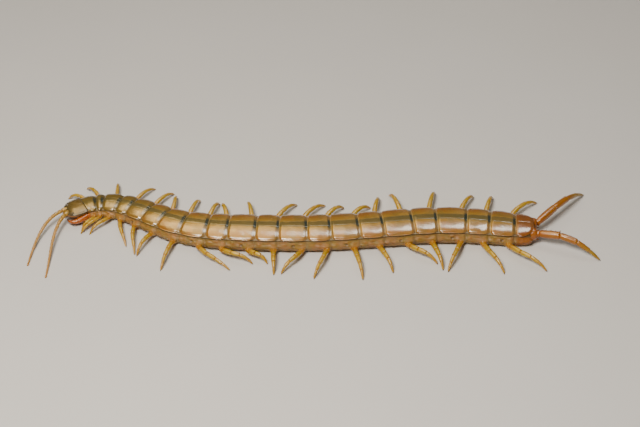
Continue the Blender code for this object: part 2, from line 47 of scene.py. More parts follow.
# Soft lights: name, place, width and depth, power, colour, and whether only the polish shows them.
GOLDEN = (1.0, 0.66, 0.22)
LIGHTS = (
    ("front", (-90, -205, 350), (130, 100), 2.15, (1.0, 0.94, 0.85), False),
    ("overhead", (0, 110, 360), (420, 200), 0.2, (1.0, 0.97, 0.93), False),
    ("glow", (-80, 5, 330), (520, 190), 1.8, GOLDEN, True),
    ("front_glow", (-180, 120, 330), (180, 130), 0.55, GOLDEN, True),
    ("sheen", (112, 80, 330), (88, 130), 0.56, (0.97, 1.0, 0.93), True),
    ("second_sheen", (-5, 85, 330), (80, 90), 0.14, (1.0, 0.98, 0.95), True),
)
SKY_COLOUR = (0.62, 0.60, 0.58)
SKY_STRENGTH = 0.18
FLOOR_HALF = 3000
FLOOR_COLOURS = ((0.66, 0.64, 0.61), (0.70, 0.68, 0.65))

# Middle line: its front end in plan, and its heading there and at the rear edge of the head.
AXIS_START = (-73.3, 3.6)
AXIS_STEP = 0.05
HEAD_LENGTH = 6.3
HEAD_WIDTH = 7.2
HEAD_HEADINGS = (33, 30)

# Trunk segments 1 to 21: length of the back plate, its width, and the heading at its rear edge.
SEGMENTS = (
    (3.3, 7.0, 11), (2.2, 7.2, 0), (5.0, 7.7, -17), (4.0, 8.2, -26), (5.8, 8.8, -30), (5.6, 9.4, -29),
    (6.6, 10.0, -17), (7.2, 10.6, -8), (6.0, 11.0, -4), (8.0, 11.3, -2), (6.6, 11.4, -1), (8.1, 11.4, 1),
    (6.7, 11.4, 4), (8.2, 11.4, 6), (7.1, 11.4, 7), (8.7, 11.4, 7), (7.1, 11.4, 2), (8.8, 11.3, -4),
    (6.8, 11.1, -7), (7.3, 10.7, -5), (5.7, 9.6, -4),
)
LAST_SEGMENT = len(SEGMENTS)

# Cross-section of the trunk: the belly's height, and the back's from the plate's width.
BELLY = 0.8
BACK_BASE = 1.0
BACK_PER_WIDTH = 0.455
MARGIN_SHARE = 0.73
ARCH_POWER = 1.2

# Back plates: how far they reach over their neighbours, and the forms of their edges.
PLATE_TUCK = 0.1
PLATE_OVERLAP = 0.14
FIRST_PLATE_REACH = 0.35
LAST_PLATE_CUT = 0.3
PLATE_STEP = 0.2
PLATE_THICKNESS = 0.14
PLATE_EDGE_RADIUS = 0.09
PLATE_EDGE_SHARE = 0.45
PLATE_FRONT_DEPTH = 0.32
PLATE_FRONT_SLOPE = 0.8
FIRST_PLATE_RISE = 0.12
FIRST_PLATE_SLOPE = 1.2
PLATE_REAR_DIP = 0.2
PLATE_REAR_SLOPE = 1.1
PLATE_BULGE = 0.13
PLATE_BULGE_SUNK = 0.3
PLATE_WAIST = 0.03
CORNER_RADIUS = 0.9
CORNER_SHARE = 0.2
LAST_REAR_RADIUS = 3.2
SUTURE_PLACE = 0.17
SUTURE_DEPTH = 0.022
SUTURE_WIDTH = 0.08
SUTURE_START = 0.5
LAST_GROOVE_DEPTH = 0.10
LAST_GROOVE_WIDTH = 0.16
RIM_FROM = 4
# Ridges and grooves along an edge: height, distance from the edge, width.
PLATE_RIM = ((0.06, 0.16, 0.12), (-0.07, 0.46, 0.13))
HEAD_RIM = ((-0.05, 0.42, 0.12), (0.04, 0.15, 0.12))
# Unevenness of the plates: height, wavelength, seed; and the shortest and longest waves against that.
PLATE_RIPPLES = ((0.014, 2.6, 0), (0.004, 0.9, 50))
RIPPLE_RANGE = (0.7, 1.4)

# Skin under the plates: half section from mid-back to mid-belly, as shares of the half width and levels,
# where 0 is the belly, 1 the plate's margin and 2 the crown.
SKIN_SECTION = (
    (0.0, 2.0), (0.42, 1.9), (0.78, 1.56), (0.95, 1.14), (0.97, 1.0), (0.92, 0.9), (0.95, 0.78),
    (1.03, 0.60), (1.045, 0.44), (1.01, 0.25), (0.90, 0.10), (0.70, 0.02), (0.35, 0.0), (0.0, 0.0),
)
SKIN_SINK = 0.34
SKIN_POINTS_ROUND = 152
SKIN_STEP = 0.16
SKIN_FRONT = 0.9
SKIN_REAR = 0.9
SKIN_ROUNDING = 4.2
SKIN_CLOSED = 0.985
NECK_SIZE = 0.86
NECK_LENGTH = 1.6
FOLD_DEPTH = 0.26
FOLD_WIDTH = 0.45
WRINKLE_DEPTH = 0.09
WRINKLES = 2.6
GRAIN_DEPTH = 0.05
GRAIN_STRETCH = np.array((0.6, 0.6, 1.6))
# Slopes over levels, and over the distance from the last joints: where they start and how long they are.
SINK_ASIDE = (0.6, 1.0)
SINK_DOWN = (0.7, 0.6)
FLANK_FROM = (0.06, 0.12)
FLANK_TO = (0.86, 0.1)
# Painted shade on the skin under the plates' margins: its slope over levels, and its fading where the last
# plate ends.
SHADE_UNDER_PLATES = (0.82, 0.1)
TAIL_BARE = (-0.9, 0.8)
TAIL_BARE_SHARE = 0.85
TAIL_ORANGE = (-1.0, 3.0)
# Small plates and breathing holes of the flank: place along the segment, level, half length and height.
FLANK_PLATES = (
    (0.20, 0.66, 0.85, 0.30), (0.50, 0.74, 1.00, 0.26), (0.80, 0.68, 0.80, 0.32), (0.30, 0.34, 0.70, 0.36),
)
FLANK_PLATE_RISE = 0.09
BREATHING_SEGMENTS = (3, 5, 8, 10, 12, 14, 16, 18, 20)
BREATHING_HOLE = (0.52, 0.60, 0.5, 0.32)
BREATHING_DEPTH = 0.2
BREATHING_RIM = (0.07, 1.4, 0.3)
HIP_SWELLING = 0.42
HIP_SWELLING_WIDTH = 1.15

# Belly plates.
BELLY_HALF_SHARE = 0.66
BELLY_THICKNESS = 0.12
BELLY_GAP = 0.25
BELLY_SINK = 0.10
BELLY_CURVE = 0.16
BELLY_GROOVE_PLACE = 0.4
BELLY_GROOVE_WIDTH = 0.12
BELLY_RIM_WIDTH = 0.3
BELLY_RELIEF = 0.05
BELLY_RIPPLE = (0.03, 2.0, 80)
BELLY_FRONT = 0.12
BELLY_CORNER_RADIUS = 1.4
BELLY_CORNER_SHARE = 0.4
BELLY_STEP = 0.3
BELLY_COLUMNS = 41

# Walking legs: swing from straight out, backwards positive, and reach from hip to foot, front to rear.
LEFT_STANCE = (
    (-62, 5.2), (-50, 7.4), (-36, 7.4), (38, 9.8), (34, 10.2), (3, 8.2), (4, 10.6), (60, 12.2), (70, 10.0),
    (60, 6.4), (3, 7.8), (-38, 9.4), (-24, 10.4), (6, 11.0), (15, 9.4), (46, 10.0), (12, 9.6), (-19, 10.8),
    (33, 11.8), (54, 13.6),
)
RIGHT_STANCE = (
    (-42, 6.6), (-30, 8.0), (-12, 8.6), (12, 9.4), (6, 9.6), (-24, 8.8), (-2, 9.8), (8, 9.4), (-18, 9.4),
    (-12, 10.6), (32, 11.6), (38, 11.9), (40, 10.2), (46, 9.8), (16, 11.2), (-9, 12.2), (15, 12.3),
    (24, 11.4), (10, 11.0), (40, 13.2),
)
STANCES = (LEFT_STANCE, RIGHT_STANCE)
LEG_NUMBERS = (1, 8, 20)
LEG_THICKNESS = (0.74, 1.0, 1.08)
LEG_LENGTHS = (9.0, 12.4, 16.0)
HIP_HEIGHT = 2.1
HIP_OUT = 0.75
HIP_PITCH = 12
HIP_SHARE_OF_SWING = 0.6
HIP_PLACES = (0.44, 0.8)
HIP_PLACE_NUMBERS = (2, 6)
KNEE_PER_SLACK = 0.56
KNEE_LEAST = 2.4
KNEE_MOST = 4.2
THIGH_SHARE = 0.42
SHIN_SHARE = 0.30
# The first article, from inside the skin outwards: depths and radii.
COXA_DEPTHS = np.array((1.5, 1.1, 0.8, 0.55, 0.35, 0.2, 0.1, 0.03, -0.02, -0.04))
COXA_RADII = np.array((1.25, 1.22, 1.12, 1.0, 0.91, 0.86, 0.85, 0.82, 0.74, 0.6))
# Articles of a leg: where each ends along it, its radius at its start and at its end.
LEG_ARTICLES = (
    (0.06, 0.78, 0.72), (0.33, 0.74, 0.70), (0.56, 0.66, 0.58),
    (0.75, 0.54, 0.46), (0.88, 0.41, 0.33), (0.955, 0.31, 0.23),
)
LEG_SIDES = 24
LEG_TALL = 1.04
COXA_TALL = 1.05
STRAIGHTENED = 0.75
# Widths of the dark rings at an article's start and end, and at a first article's end.
START_RING = 0.07
END_RING = 0.05
COXA_RING = 0.12
LEG_CLAW_RADIUS = 0.17
LIMB_CLAW_TAPER = 1.4
LIMB_CLAW_TIP = 0.02
LIMB_CLAW_ARCH = 0.35
LIMB_CLAW_DARK_FROM = 0.5
# Spurs: place along the leg and length.
LEG_SPURS = ((0.748, 0.42), (0.878, 0.34))
SPUR_RADIUS = 0.07
SPUR_DEPTH = 0.26
SPUR_DROP = 0.12
SPUR_LOWEST = 0.02
# Hairs on a limb's article: how many, and their length.
LEG_HAIRS = (10, 0.28)
TAIL_LEG_HAIRS = (26, 0.3)
HAIR_RADIUS = 0.012
# Where they stand along and round the article, how they lean ahead, and how their lengths differ.
HAIR_SPAN = (0.12, 0.92)
HAIR_ROOT = 0.9
HAIR_LEAN = (0.3, 0.9)
HAIR_LENGTHS = (0.6, 1.2)

# Last pair of legs, left and right: foot from the hip, towards the tail and outwards.
TAIL_LEG_FEET = ((18.3, 6.0), (15.2, 18.4))
TAIL_LEG_TURNS = (12, 44)
TAIL_HIP = (2.3, 4.0)
TAIL_HIP_BEHIND = 0.7
TAIL_HIP_PITCH = 14
TAIL_THIGH = 7.0
TAIL_SHIN = 8.0
TAIL_LEG_ARCH = 6.6
TAIL_ARTICLES = (
    (0.035, 1.05, 1.02), (0.325, 1.12, 1.12), (0.575, 1.02, 0.95),
    (0.78, 0.82, 0.65), (0.915, 0.56, 0.42), (0.968, 0.38, 0.27),
)
TAIL_LEG_SIDES = 28
TAIL_CLAW_RADIUS = 0.22
# Spines of the first long article: rows by their turn round it and length, places along it with their
# unevenness and the shortening from one to the next, and two more at its end.
SPINE_ROWS = ((5, 0.45), (55, 0.45), (-50, 0.42), (-100, 0.40))
SPINE_PLACES = (0.10, 0.165, 0.23)
SPINE_UNEVEN = 0.012
SPINE_SHORTENING = 0.03
END_SPINES = ((0.297, 40, 0.75), (0.305, 22, 0.5))
SPINE_RADIUS = 0.17
SPINE_OUT = 0.85
SPINE_LEAN = 0.55
SPINE_ROOTED = 0.15
SPINE_DARK = (0.2, 0.625)
SPINE_RUN = np.linspace(0, 1, 5)
SPINE_SIDES = 7
SPINE_TAPER = 0.7
SPINE_TIP = 0.008
TAIL_BASE_DEPTHS = np.array((4.0, 3.3, 2.6, 1.9, 1.2, 0.6, 0.25, 0.08, 0.0, -0.04))
TAIL_BASE_RADII = np.array((0.9, 1.3, 1.6, 1.74, 1.72, 1.55, 1.4, 1.28, 1.12, 0.85))
TAIL_BASE_SIDES = 32
TAIL_BASE_TALL = 1.12
TAIL_BASE_RING = 0.18
TAIL_BASE_BOW = 0.15
# Start of a last leg's base from its hip, and root of the process from the trunk's end: towards the
# tail, outwards and up.
TAIL_BASE_START = (-3.2, -0.2, -0.9)
TAIL_PROCESS_ROOT = (-0.9, 2.3, 2.1)
TAIL_PROCESS_OUTWARD = 0.12
TAIL_PROCESS_LENGTH = 2.6
TAIL_PROCESS_RADIUS = 0.66
TAIL_PROCESS_TIP = 0.03
TAIL_PROCESS_TAPER = 0.8
TAIL_PROCESS_DARK = (0.75, 0.2)
TAIL_PROCESS_SIDES = 18

# Head plate, in its own frame: f forward from its rear edge, sideways, z up.
HEAD_WIDEST = 2.2
HEAD_ROUNDNESS = 2.4
HEAD_REAR = 2.3
HEAD_REAR_ROUNDNESS = 5.0
HEAD_DOME_POWER = 0.6
HEAD_CROWN = 5.2
HEAD_MARGIN = 4.2
HEAD_DIP_FROM = 3.4
HEAD_CROWN_DIP = 0.75
HEAD_MARGIN_DIP = 0.1
HEAD_NARROWING = 0.08
HEAD_SIDES = 160
# Its rear dips under the first back plate, and a shallow groove starts there: slopes as start and length.
HEAD_REAR_DIP = 0.32
HEAD_REAR_SLOPE = (-0.15, 0.9)
HEAD_GROOVE_DEPTH = 0.05
HEAD_GROOVE_WIDTH = 0.12
HEAD_GROOVE_SLOPE = (1.2, 1.2)
HEAD_RIPPLE = (0.02, 1.8, 21)
# The head under its plate: its run with its sections, width against the plate's, lower side, the mouth's
# swelling as a ridge, how far it reaches into the dome, and the squareness of its sections.
HEAD_BODY_RUN = (-0.6, 6.12, 34)
HEAD_BODY_WIDTH = 0.95
HEAD_BODY_LOW = 3.25
MOUTH_SWELLING = (0.25, 4.9, 1.0)
HEAD_BODY_TOP = 0.25
HEAD_BODY_POWERS = (0.7, 0.8)
HEAD_BODY_SIDES = 64

ANTENNA_ARTICLES = 18
ANTENNA_SIDES = 18
ANTENNA_ROOT = (6.9, 1.1, 3.95)
ANTENNA_TURNS = (30, -2)
ANTENNA_RADII = (0.60, 0.26)
ANTENNA_TAPER = 0.8
ANTENNA_TIPS = ((-76.3, -20.2), (-82.1, -15.2))
ANTENNA_LIE = np.array((0.06, 1.0, 0.0))
ANTENNA_STRETCH = 6.5
ANTENNA_CLEARANCE = 0.02
SOCKET_DEPTHS = np.array((1.8, 1.4, 1.0, 0.7, 0.45, 0.3, 0.2, 0.14, 0.1))
SOCKET_RADII = np.array((0.6, 0.72, 0.75, 0.74, 0.72, 0.70, 0.68, 0.62, 0.5))
# Hairs of a bare and of a furred feeler article: how many, and their length.
BARE_ARTICLES = 5
BARE_HAIRS = (8, 0.21)
FUR_HAIRS = (90, 0.16)
FUR_RADIUS = 0.009

# Poison claws and mouth palps, in the head's frame: start, two pulls and tip of their curve, then articles.
CLAW_CURVE = ((0.6, 2.5, 2.2), (3.0, 3.7, 2.3), (6.6, 4.3, 2.1), (6.2, 0.45, 1.9))
CLAW_ARTICLES = ((0.46, 1.14, 0.92), (0.535, 0.86, 0.80), (0.615, 0.76, 0.70), (1.0, 0.66, 0.04))
CLAW_SIDES = 28
CLAW_SECTIONS = 26
CLAW_TALL = 0.95
FANG_TAPER = 0.85
CLAW_WAIST = 0.2
# Widths of the waists and dark rings at the start and end of a claw's article.
CLAW_START_RING = 0.06
CLAW_END_WAIST = 0.05
CLAW_END_RING = 0.04
# Plate of the poison claws: places along the head, and half width, underside and top there.
CLAW_PLATE = (
    (-3.4, -3.1, -2.6, -1.8, -0.8, 0.0, 0.6, 0.95, 1.15, 1.3, 1.5, 1.9, 2.2, 2.45, 2.55),
    (2.2, 2.75, 3.05, 3.3, 3.5, 3.62, 3.62, 3.4, 2.9, 1.9, 1.2, 1.0, 0.95, 0.85, 0.6),
    (1.3, 1.05, 0.95, 0.9, 0.88, 0.88, 0.9, 0.95, 1.0, 1.05, 1.1, 1.18, 1.28, 1.45, 1.7),
    (2.5, 2.7, 2.9, 3.1, 3.25, 3.3, 3.25, 3.15, 3.0, 2.95, 2.9, 2.85, 2.8, 2.6, 2.3),
)
CLAW_PLATE_SECTIONS = 60
CLAW_PLATE_SIDES = 72
CLAW_PLATE_POWERS = (0.6, 0.6)
CLAW_PLATE_GROOVE_DEPTH = 0.12
CLAW_PLATE_GROOVE_WIDTH = 0.14
# Its teeth, four on a side: root and tip of the inmost, and the step from one root and tip to the next.
TOOTH_COUNT = 4
TOOTH_ROOT = np.array((2.35, 0.2, 1.65))
TOOTH_ROOT_STEP = np.array((-0.05, 0.22, 0.0))
TOOTH_TIP = np.array((2.85, 0.2, 1.7))
TOOTH_TIP_STEP = np.array((-0.09, 0.22, 0.0))
TOOTH_RADIUS = 0.13
# Mouth palps: curve, articles and sides of each.
PALPS = (
    (
        ((2.6, 1.0, 3.5), (4.0, 1.5, 2.9), (5.4, 1.3, 3.0), (6.2, 0.6, 3.1)),
        ((0.36, 0.42, 0.42), (0.66, 0.40, 0.38), (0.96, 0.35, 0.22)),
        18,
    ),
    (
        ((3.2, 0.5, 3.3), (4.0, 0.6, 2.9), (4.7, 0.5, 2.9), (5.2, 0.3, 3.0)),
        ((0.5, 0.34, 0.32), (0.97, 0.30, 0.18)),
        16,
    ),
)

EYE_PLACE = (4.75, 2.35)
EYE_LEAN = (0.3, 0.55, 0.78)
OCELLUS_RADIUS = 0.25
OCELLUS_SUNK = -0.7
OCELLUS_TALL = 1.25
OCELLUS_CLOSED = 0.985
OCELLUS_FULLNESS = 0.8
OCELLUS_SIDES = 24
OCELLUS_PLACES = ((-0.33, -0.16), (-0.05, 0.28), (0.04, -0.26), (0.36, 0.12))

# Profiles of one article, as places along it and shares of its radius.
ARTICLE = (
    (-0.04, -0.01, 0.025, 0.07, 0.16, 0.3, 0.5, 0.7, 0.84, 0.92, 0.96, 0.985, 1.0, 1.01),
    (0.55, 0.74, 0.85, 0.92, 0.97, 1.01, 1.04, 1.02, 1.0, 1.01, 1.0, 0.93, 0.80, 0.60),
)
BEAD = (
    (-0.05, -0.02, 0.03, 0.12, 0.28, 0.48, 0.68, 0.82, 0.92, 0.98, 1.01),
    (0.50, 0.66, 0.77, 0.87, 0.95, 1.01, 1.04, 1.02, 0.95, 0.84, 0.66),
)

# Colours of a limb near its root, at its middle, far out, on its claw, and at its joints.
LEG_COLOURS = (
    (0.42, 0.185, 0.003), (0.46, 0.285, 0.003), (0.44, 0.235, 0.004),
    (0.06, 0.022, 0.008), (0.34, 0.13, 0.006),
)
TAIL_LEG_COLOURS = (
    (0.31, 0.088, 0.002), (0.33, 0.118, 0.003), (0.32, 0.19, 0.006),
    (0.05, 0.02, 0.008), (0.26, 0.07, 0.004),
)
FEELER_COLOURS = (
    (0.36, 0.20, 0.012), (0.40, 0.20, 0.020), (0.42, 0.20, 0.035),
    (0.30, 0.15, 0.05), (0.38, 0.19, 0.05),
)
CHITIN_IOR = 1.52
SCATTER_SHARE = 0.1


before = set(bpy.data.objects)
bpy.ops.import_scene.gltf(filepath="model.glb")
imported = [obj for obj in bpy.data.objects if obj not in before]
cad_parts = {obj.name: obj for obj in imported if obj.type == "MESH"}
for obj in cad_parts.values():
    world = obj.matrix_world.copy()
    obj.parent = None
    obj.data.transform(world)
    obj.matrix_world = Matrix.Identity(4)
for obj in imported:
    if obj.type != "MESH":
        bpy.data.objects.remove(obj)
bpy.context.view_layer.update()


# Small sums

def unit(vectors):
    """Vectors of length one."""
    return vectors / np.linalg.norm(vectors, axis=-1, keepdims=True)


def smooth(x):
    """0 below 0, 1 above 1, and an even slope between."""
    x = np.clip(x, 0.0, 1.0)
    return x * x * (3 - 2 * x)


def slope(x, start, length):
    """0 before the start, 1 after this length, and an even slope between."""
    return smooth((x - start) / length)


def bell(x, width):
    """A bump of height 1 at 0."""
    return np.exp(-((np.asarray(x) / width) ** 2))


def ridges(distance, rows):
    """Ridges and grooves along an edge."""
    return sum(height * bell(distance - place, width) for height, place, width in rows)


def of_side(pair, sign):
    """The left or the right one of a pair."""
    return pair[0] if sign > 0 else pair[1]


def swung(ahead, aside, degrees):
    """The way ahead, swung aside by this angle."""
    angle = math.radians(degrees)
    return ahead * math.cos(angle) + aside * math.sin(angle)


def square_to(ways):
    """Level directions square to these ways, and the directions square to both."""
    side = unit(np.cross(ways, UP))
    return side, np.cross(side, ways)


def ripples(points, wavelength, seed, waves=8):
    """A smooth random field over points, about -1 to 1, the same each run."""
    draw = np.random.default_rng(seed)
    total = np.zeros(points.shape[:-1])
    for _ in range(waves):
        way = unit(draw.normal(size=3))
        pace = math.tau / (wavelength * draw.uniform(*RIPPLE_RANGE))
        total += np.sin(points @ way * pace + draw.uniform(0, math.tau))
    return total / math.sqrt(waves)


def lengths_along(points):
    """Distance along a polyline at each of its points."""
    return np.concatenate(([0], np.cumsum(np.linalg.norm(np.diff(points, axis=0), axis=1))))


def bezier(points, t):
    """Points at t on a cubic curve with these four control points."""
    a, b, c, d = (np.asarray(point, float) for point in points)
    t = np.asarray(t)[..., None]
    u = 1 - t
    return a * u**3 + b * (3 * u * u * t) + c * (3 * u * t * t) + d * t**3


def along_curve(points, shares, samples=400):
    """Points on a cubic curve at these shares of its length."""
    ts = np.linspace(0, 1, samples + 1)
    run = lengths_along(bezier(points, ts))
    return bezier(points, np.interp(np.asarray(shares) * run[-1], run, ts))


def spline(knots, per_span):
    """Points on a smooth curve through these knots."""
    knots = np.asarray(knots, float)
    padded = np.vstack((2 * knots[0] - knots[1], knots, 2 * knots[-1] - knots[-2]))
    t = np.linspace(0, 1, per_span, endpoint=False)[:, None]
    spans = []
    for a, b, c, d in zip(padded, padded[1:], padded[2:], padded[3:]):
        bend = 2 * a - 5 * b + 4 * c - d
        spans.append(b + 0.5 * t * ((c - a) + t * (bend + t * (3 * b - 3 * c + d - a))))
    return np.vstack(spans + [knots[-1:]])


def evenly(points, count):
    """Points at equal steps along a polyline."""
    run = lengths_along(points)
    places = np.linspace(0, run[-1], count)
    return np.stack([np.interp(places, run, column) for column in points.T], axis=-1)


# Middle line

JOINTS = np.cumsum([0.0, HEAD_LENGTH] + [length for length, width, heading in SEGMENTS])
AXIS_S = np.arange(0.0, JOINTS[-1] + AXIS_STEP, AXIS_STEP)
AXIS_TURN = np.radians(np.interp(AXIS_S, JOINTS, HEAD_HEADINGS + tuple(row[2] for row in SEGMENTS)))
AXIS_STEPS = np.stack((np.cos(AXIS_TURN), np.sin(AXIS_TURN)), axis=1) * AXIS_STEP
AXIS_PLAN = np.array(AXIS_START) + np.cumsum(AXIS_STEPS, axis=0) - AXIS_STEPS[0]


def frames(s):
    """Points on the floor under the middle line at s, and the directions to the tail and to the left."""
    s = np.asarray(s, float)
    inside = np.clip(s, 0.0, JOINTS[-1])
    turn = np.interp(inside, AXIS_S, AXIS_TURN)
    none = np.zeros_like(s)
    tail = np.stack((np.cos(turn), np.sin(turn), none), axis=-1)
    left = np.stack((np.sin(turn), -np.cos(turn), none), axis=-1)
    plan = [np.interp(inside, AXIS_S, column) for column in AXIS_PLAN.T]
    point = np.stack((*plan, none), axis=-1) + tail * (s - inside)[..., None]
    return point, tail, left


def trunk_width(s):
    """Width of the back plates at s."""
    middles = (JOINTS[1:-1] + JOINTS[2:]) / 2
    return np.interp(s, middles, [width for length, width, heading in SEGMENTS])


def trunk_heights(width):
    """Heights of the crown and of the plate's margin for a plate of this width."""
    crown = BELLY + BACK_BASE + BACK_PER_WIDTH * width
    return crown, BELLY + MARGIN_SHARE * (crown - BELLY)


def on_trunk(s, y, z):
    """Points given by s, distance to the left, and height."""
    point, tail, left = frames(s)
    return point + left * np.asarray(y)[..., None] + UP * np.asarray(z)[..., None]


def on_head(f, y, z):
    """Points given in the head's frame."""
    point, tail, left = frames(HEAD_LENGTH)
    f, y, z = (np.asarray(value, float)[..., None] for value in (f, y, z))
    return point - tail * f + left * y + UP * z


def head_curve(curve, sign):
    """Control points given in the head's frame, on one side."""
    return tuple(on_head(f, y * sign, z) for f, y, z in curve)


# Meshes

def linked(name, data):
    """A new object in the scene."""
    thing = bpy.data.objects.new(name, data)
    bpy.context.scene.collection.objects.link(thing)
    return thing


def grid_normals(points, wrap=False):
    """Directions square to a grid of points."""
    if wrap:
        across = np.roll(points, -1, axis=1) - np.roll(points, 1, axis=1)
    else:
        across = np.gradient(points, axis=1)
    normals = np.cross(np.gradient(points, axis=0), across)
    return normals / np.maximum(np.linalg.norm(normals, axis=-1, keepdims=True), 1e-9)


class Shape:
    """Points, faces and float fields of one piece, gathered from several surfaces."""

    def __init__(self):
        self.points = []
        self.faces = []
        self.fields = []
        self.count = 0

    def add_points(self, points, fields):
        """Keep these points and say where they start."""
        first = self.count
        flat = points.reshape(-1, 3)
        self.points.append(flat)
        self.count += len(flat)
        grid = points.shape[:-1]
        values = {name: np.broadcast_to(value, grid).reshape(-1) for name, value in fields.items()}
        self.fields.append((len(flat), values))
        return first

    def add_grid(self, points, wrap=False, **fields):
        """Faces over a grid of points, open at its first and last row."""
        rows, columns = points.shape[:2]
        first = self.add_points(points, fields)
        row = np.arange(rows - 1)[:, None] * columns
        column = np.arange(columns if wrap else columns - 1)[None, :]
        beside = (column + 1) % columns
        corners = (row + column, row + beside, row + columns + beside, row + columns + column)
        self.faces.extend((first + np.stack(corners, axis=-1).reshape(-1, 4)).tolist())
        return first

    def add_tube(self, rings, **fields):
        """A closed tube over rings of points, each end closed to its middle."""
        rows, columns = rings.shape[:2]
        first = self.add_grid(rings, wrap=True, **fields)
        for row, start in ((0, first), (rows - 1, first + (rows - 1) * columns)):
            ends = {name: np.broadcast_to(value, (rows, columns))[row, :1] for name, value in fields.items()}
            pole = self.add_points(rings[row].mean(axis=0)[None], ends)
            loop = start + np.arange(columns)
            self.faces.extend(np.stack((loop, np.roll(loop, -1), np.full(columns, pole)), axis=-1).tolist())

    def add_shell(self, top, bottom, **fields):
        """A thin closed shell between two grids of the same size."""
        rows, columns = top.shape[:2]
        upper = self.add_grid(top, **fields)
        lower = self.add_grid(bottom, **fields)
        ids = np.arange(rows * columns).reshape(rows, columns)
        loop = np.concatenate((ids[0, :-1], ids[:-1, -1], ids[-1, :0:-1], ids[:0:-1, 0]))
        onward = np.roll(loop, -1)
        wall = (upper + loop, upper + onward, lower + onward, lower + loop)
        self.faces.extend(np.stack(wall, axis=-1).tolist())

    def build(self, name, material, nodes=(), fold=None):
        """Make the piece, ride it on the body and let it stand for these nodes."""
        mesh = bpy.data.meshes.new(name)
        mesh.from_pydata((np.vstack(self.points) * MM).tolist(), [], self.faces)
        for key in sorted({key for length, values in self.fields for key in values}):
            column = np.concatenate([values.get(key, np.zeros(length)) for length, values in self.fields])
            made = mesh.attributes.new(key, "FLOAT", "POINT")
            made.data.foreach_set("value", column.astype(np.float32))
        shape = bmesh.new()
        shape.from_mesh(mesh)
        bmesh.ops.recalc_face_normals(shape, faces=shape.faces)
        shape.to_mesh(mesh)
        shape.free()
        mesh.shade_smooth()
        if fold:
            mesh.set_sharp_from_angle(angle=math.radians(fold))
        mesh.materials.append(material)
        piece = linked(name, mesh)
        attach(piece, "root")
        if nodes:
            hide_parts(*nodes)


def plate_faces(points, lift, nearest, wrap=False):
    """Upper and lower face of a thin plate lifted off a grid, rounded where an edge is near."""
    normals = grid_normals(points, wrap)
    normals *= np.sign(normals[..., 2].mean())
    inside = np.clip(1 - nearest / PLATE_EDGE_RADIUS, 0, 1)
    round_edge = (1 - np.sqrt(1 - inside**2)) * PLATE_THICKNESS * PLATE_EDGE_SHARE
    upper = points + normals * (lift - round_edge)[..., None]
    return upper, points + normals * (lift - PLATE_THICKNESS + round_edge)[..., None]


def rings_along(path, radii, sides, tall=1.0, directions=None):
    """Rings of points round a path; tall is their height against their width."""
    if directions is None:
        directions = unit(np.gradient(path, axis=0))
    side, over = square_to(directions)
    turn = np.linspace(0, math.tau, sides, endpoint=False)[None, :, None]
    radii = np.asarray(radii)[:, None, None]
    return path[:, None] + radii * (side[:, None] * np.cos(turn) + over[:, None] * np.sin(turn) * tall)


def boxy_rings(half, low, high, sides, powers):
    """Sideways places and heights of rounded box sections, squarer for lower powers, and their middles."""
    turn = np.linspace(0, math.tau, sides, endpoint=False)
    cosine, sine = np.cos(turn), np.sin(turn)
    middle = ((low + high) / 2)[:, None]
    across, upright = powers
    y = half[:, None] * np.sign(cosine) * np.abs(cosine) ** across
    z = middle + ((high - low) / 2)[:, None] * np.sign(sine) * np.abs(sine) ** upright
    return y, z, middle


def spike(root, tip, radius):
    """Rings of a slender spine from root to tip."""
    path = root + (tip - root) * SPINE_RUN[:, None]
    return rings_along(path, radius * (1 - SPINE_RUN) ** SPINE_TAPER + SPINE_TIP, SPINE_SIDES)


def add_hairs(shape, roots, ways, length, radius, **fields):
    """Fine hairs as slender three-sided spikes, none of them into the floor."""
    clear = roots[:, 2] + np.minimum(ways * length, 0)[:, 2] > 2 * radius
    roots, ways, length = roots[clear], ways[clear], length[clear]
    side = unit(np.cross(ways, UP + 0.31))
    over = np.cross(side, ways)
    turns = np.arange(3) * math.tau / 3
    base = [roots + side * (radius * math.cos(a)) + over * (radius * math.sin(a)) for a in turns]
    points = np.stack(base + [roots + ways * length], axis=1)
    first = shape.add_points(points, fields)
    start = first + np.arange(len(roots))[:, None] * 4
    for corners in ((0, 1, 3), (1, 2, 3), (2, 0, 3), (2, 1, 0)):
        shape.faces.extend((start + np.array(corners)).tolist())


def hair_roots(curve, shares, step, draw):
    """Points on a limb's middle line, the way ahead there, and a random way out of it."""
    points = along_curve(curve, shares)
    behind = along_curve(curve, np.maximum(shares - step, 0))
    ahead = unit(along_curve(curve, np.minimum(shares + step, 1)) - behind)
    side, over = square_to(ahead)
    turn = draw.uniform(0, math.tau, len(shares))[:, None]
    return points, ahead, side * np.cos(turn) + over * np.sin(turn)


def article_path(curve, start, end, places, straightened):
    """Points of one article, nearly straight between its joints."""
    shares = start + (end - start) * places
    ends = along_curve(curve, (start, end))
    line = ends[0] + (ends[1] - ends[0]) * places[:, None]
    bent = along_curve(curve, np.clip(shares, 0, 1))
    return line * straightened + bent * (1 - straightened)


def add_articles(
    shape, curve, articles, sides, profile=ARTICLE, straightened=STRAIGHTENED, tall=LEG_TALL, scale=1.0
):
    """The articles of a limb, each a closed form whose start sits in the end of the one before."""
    start = 0.0
    places, sizes = np.array(profile)
    for end, thick, thin in articles:
        path = article_path(curve, start, end, places, straightened)
        radii = (thick + (thin - thick) * np.clip(places, 0, 1)) * sizes * scale
        path[:, 2] -= np.minimum(path[:, 2] - radii * tall, 0)
        direction = np.repeat(unit(path[-1] - path[0])[None], len(path), axis=0)
        joint = np.maximum(bell(places, START_RING), bell(places - 1, END_RING))[:, None]
        share = (start + (end - start) * places)[:, None]
        shape.add_tube(rings_along(path, radii, sides, tall, direction), along=share, joint=joint)
        start = end
    return start


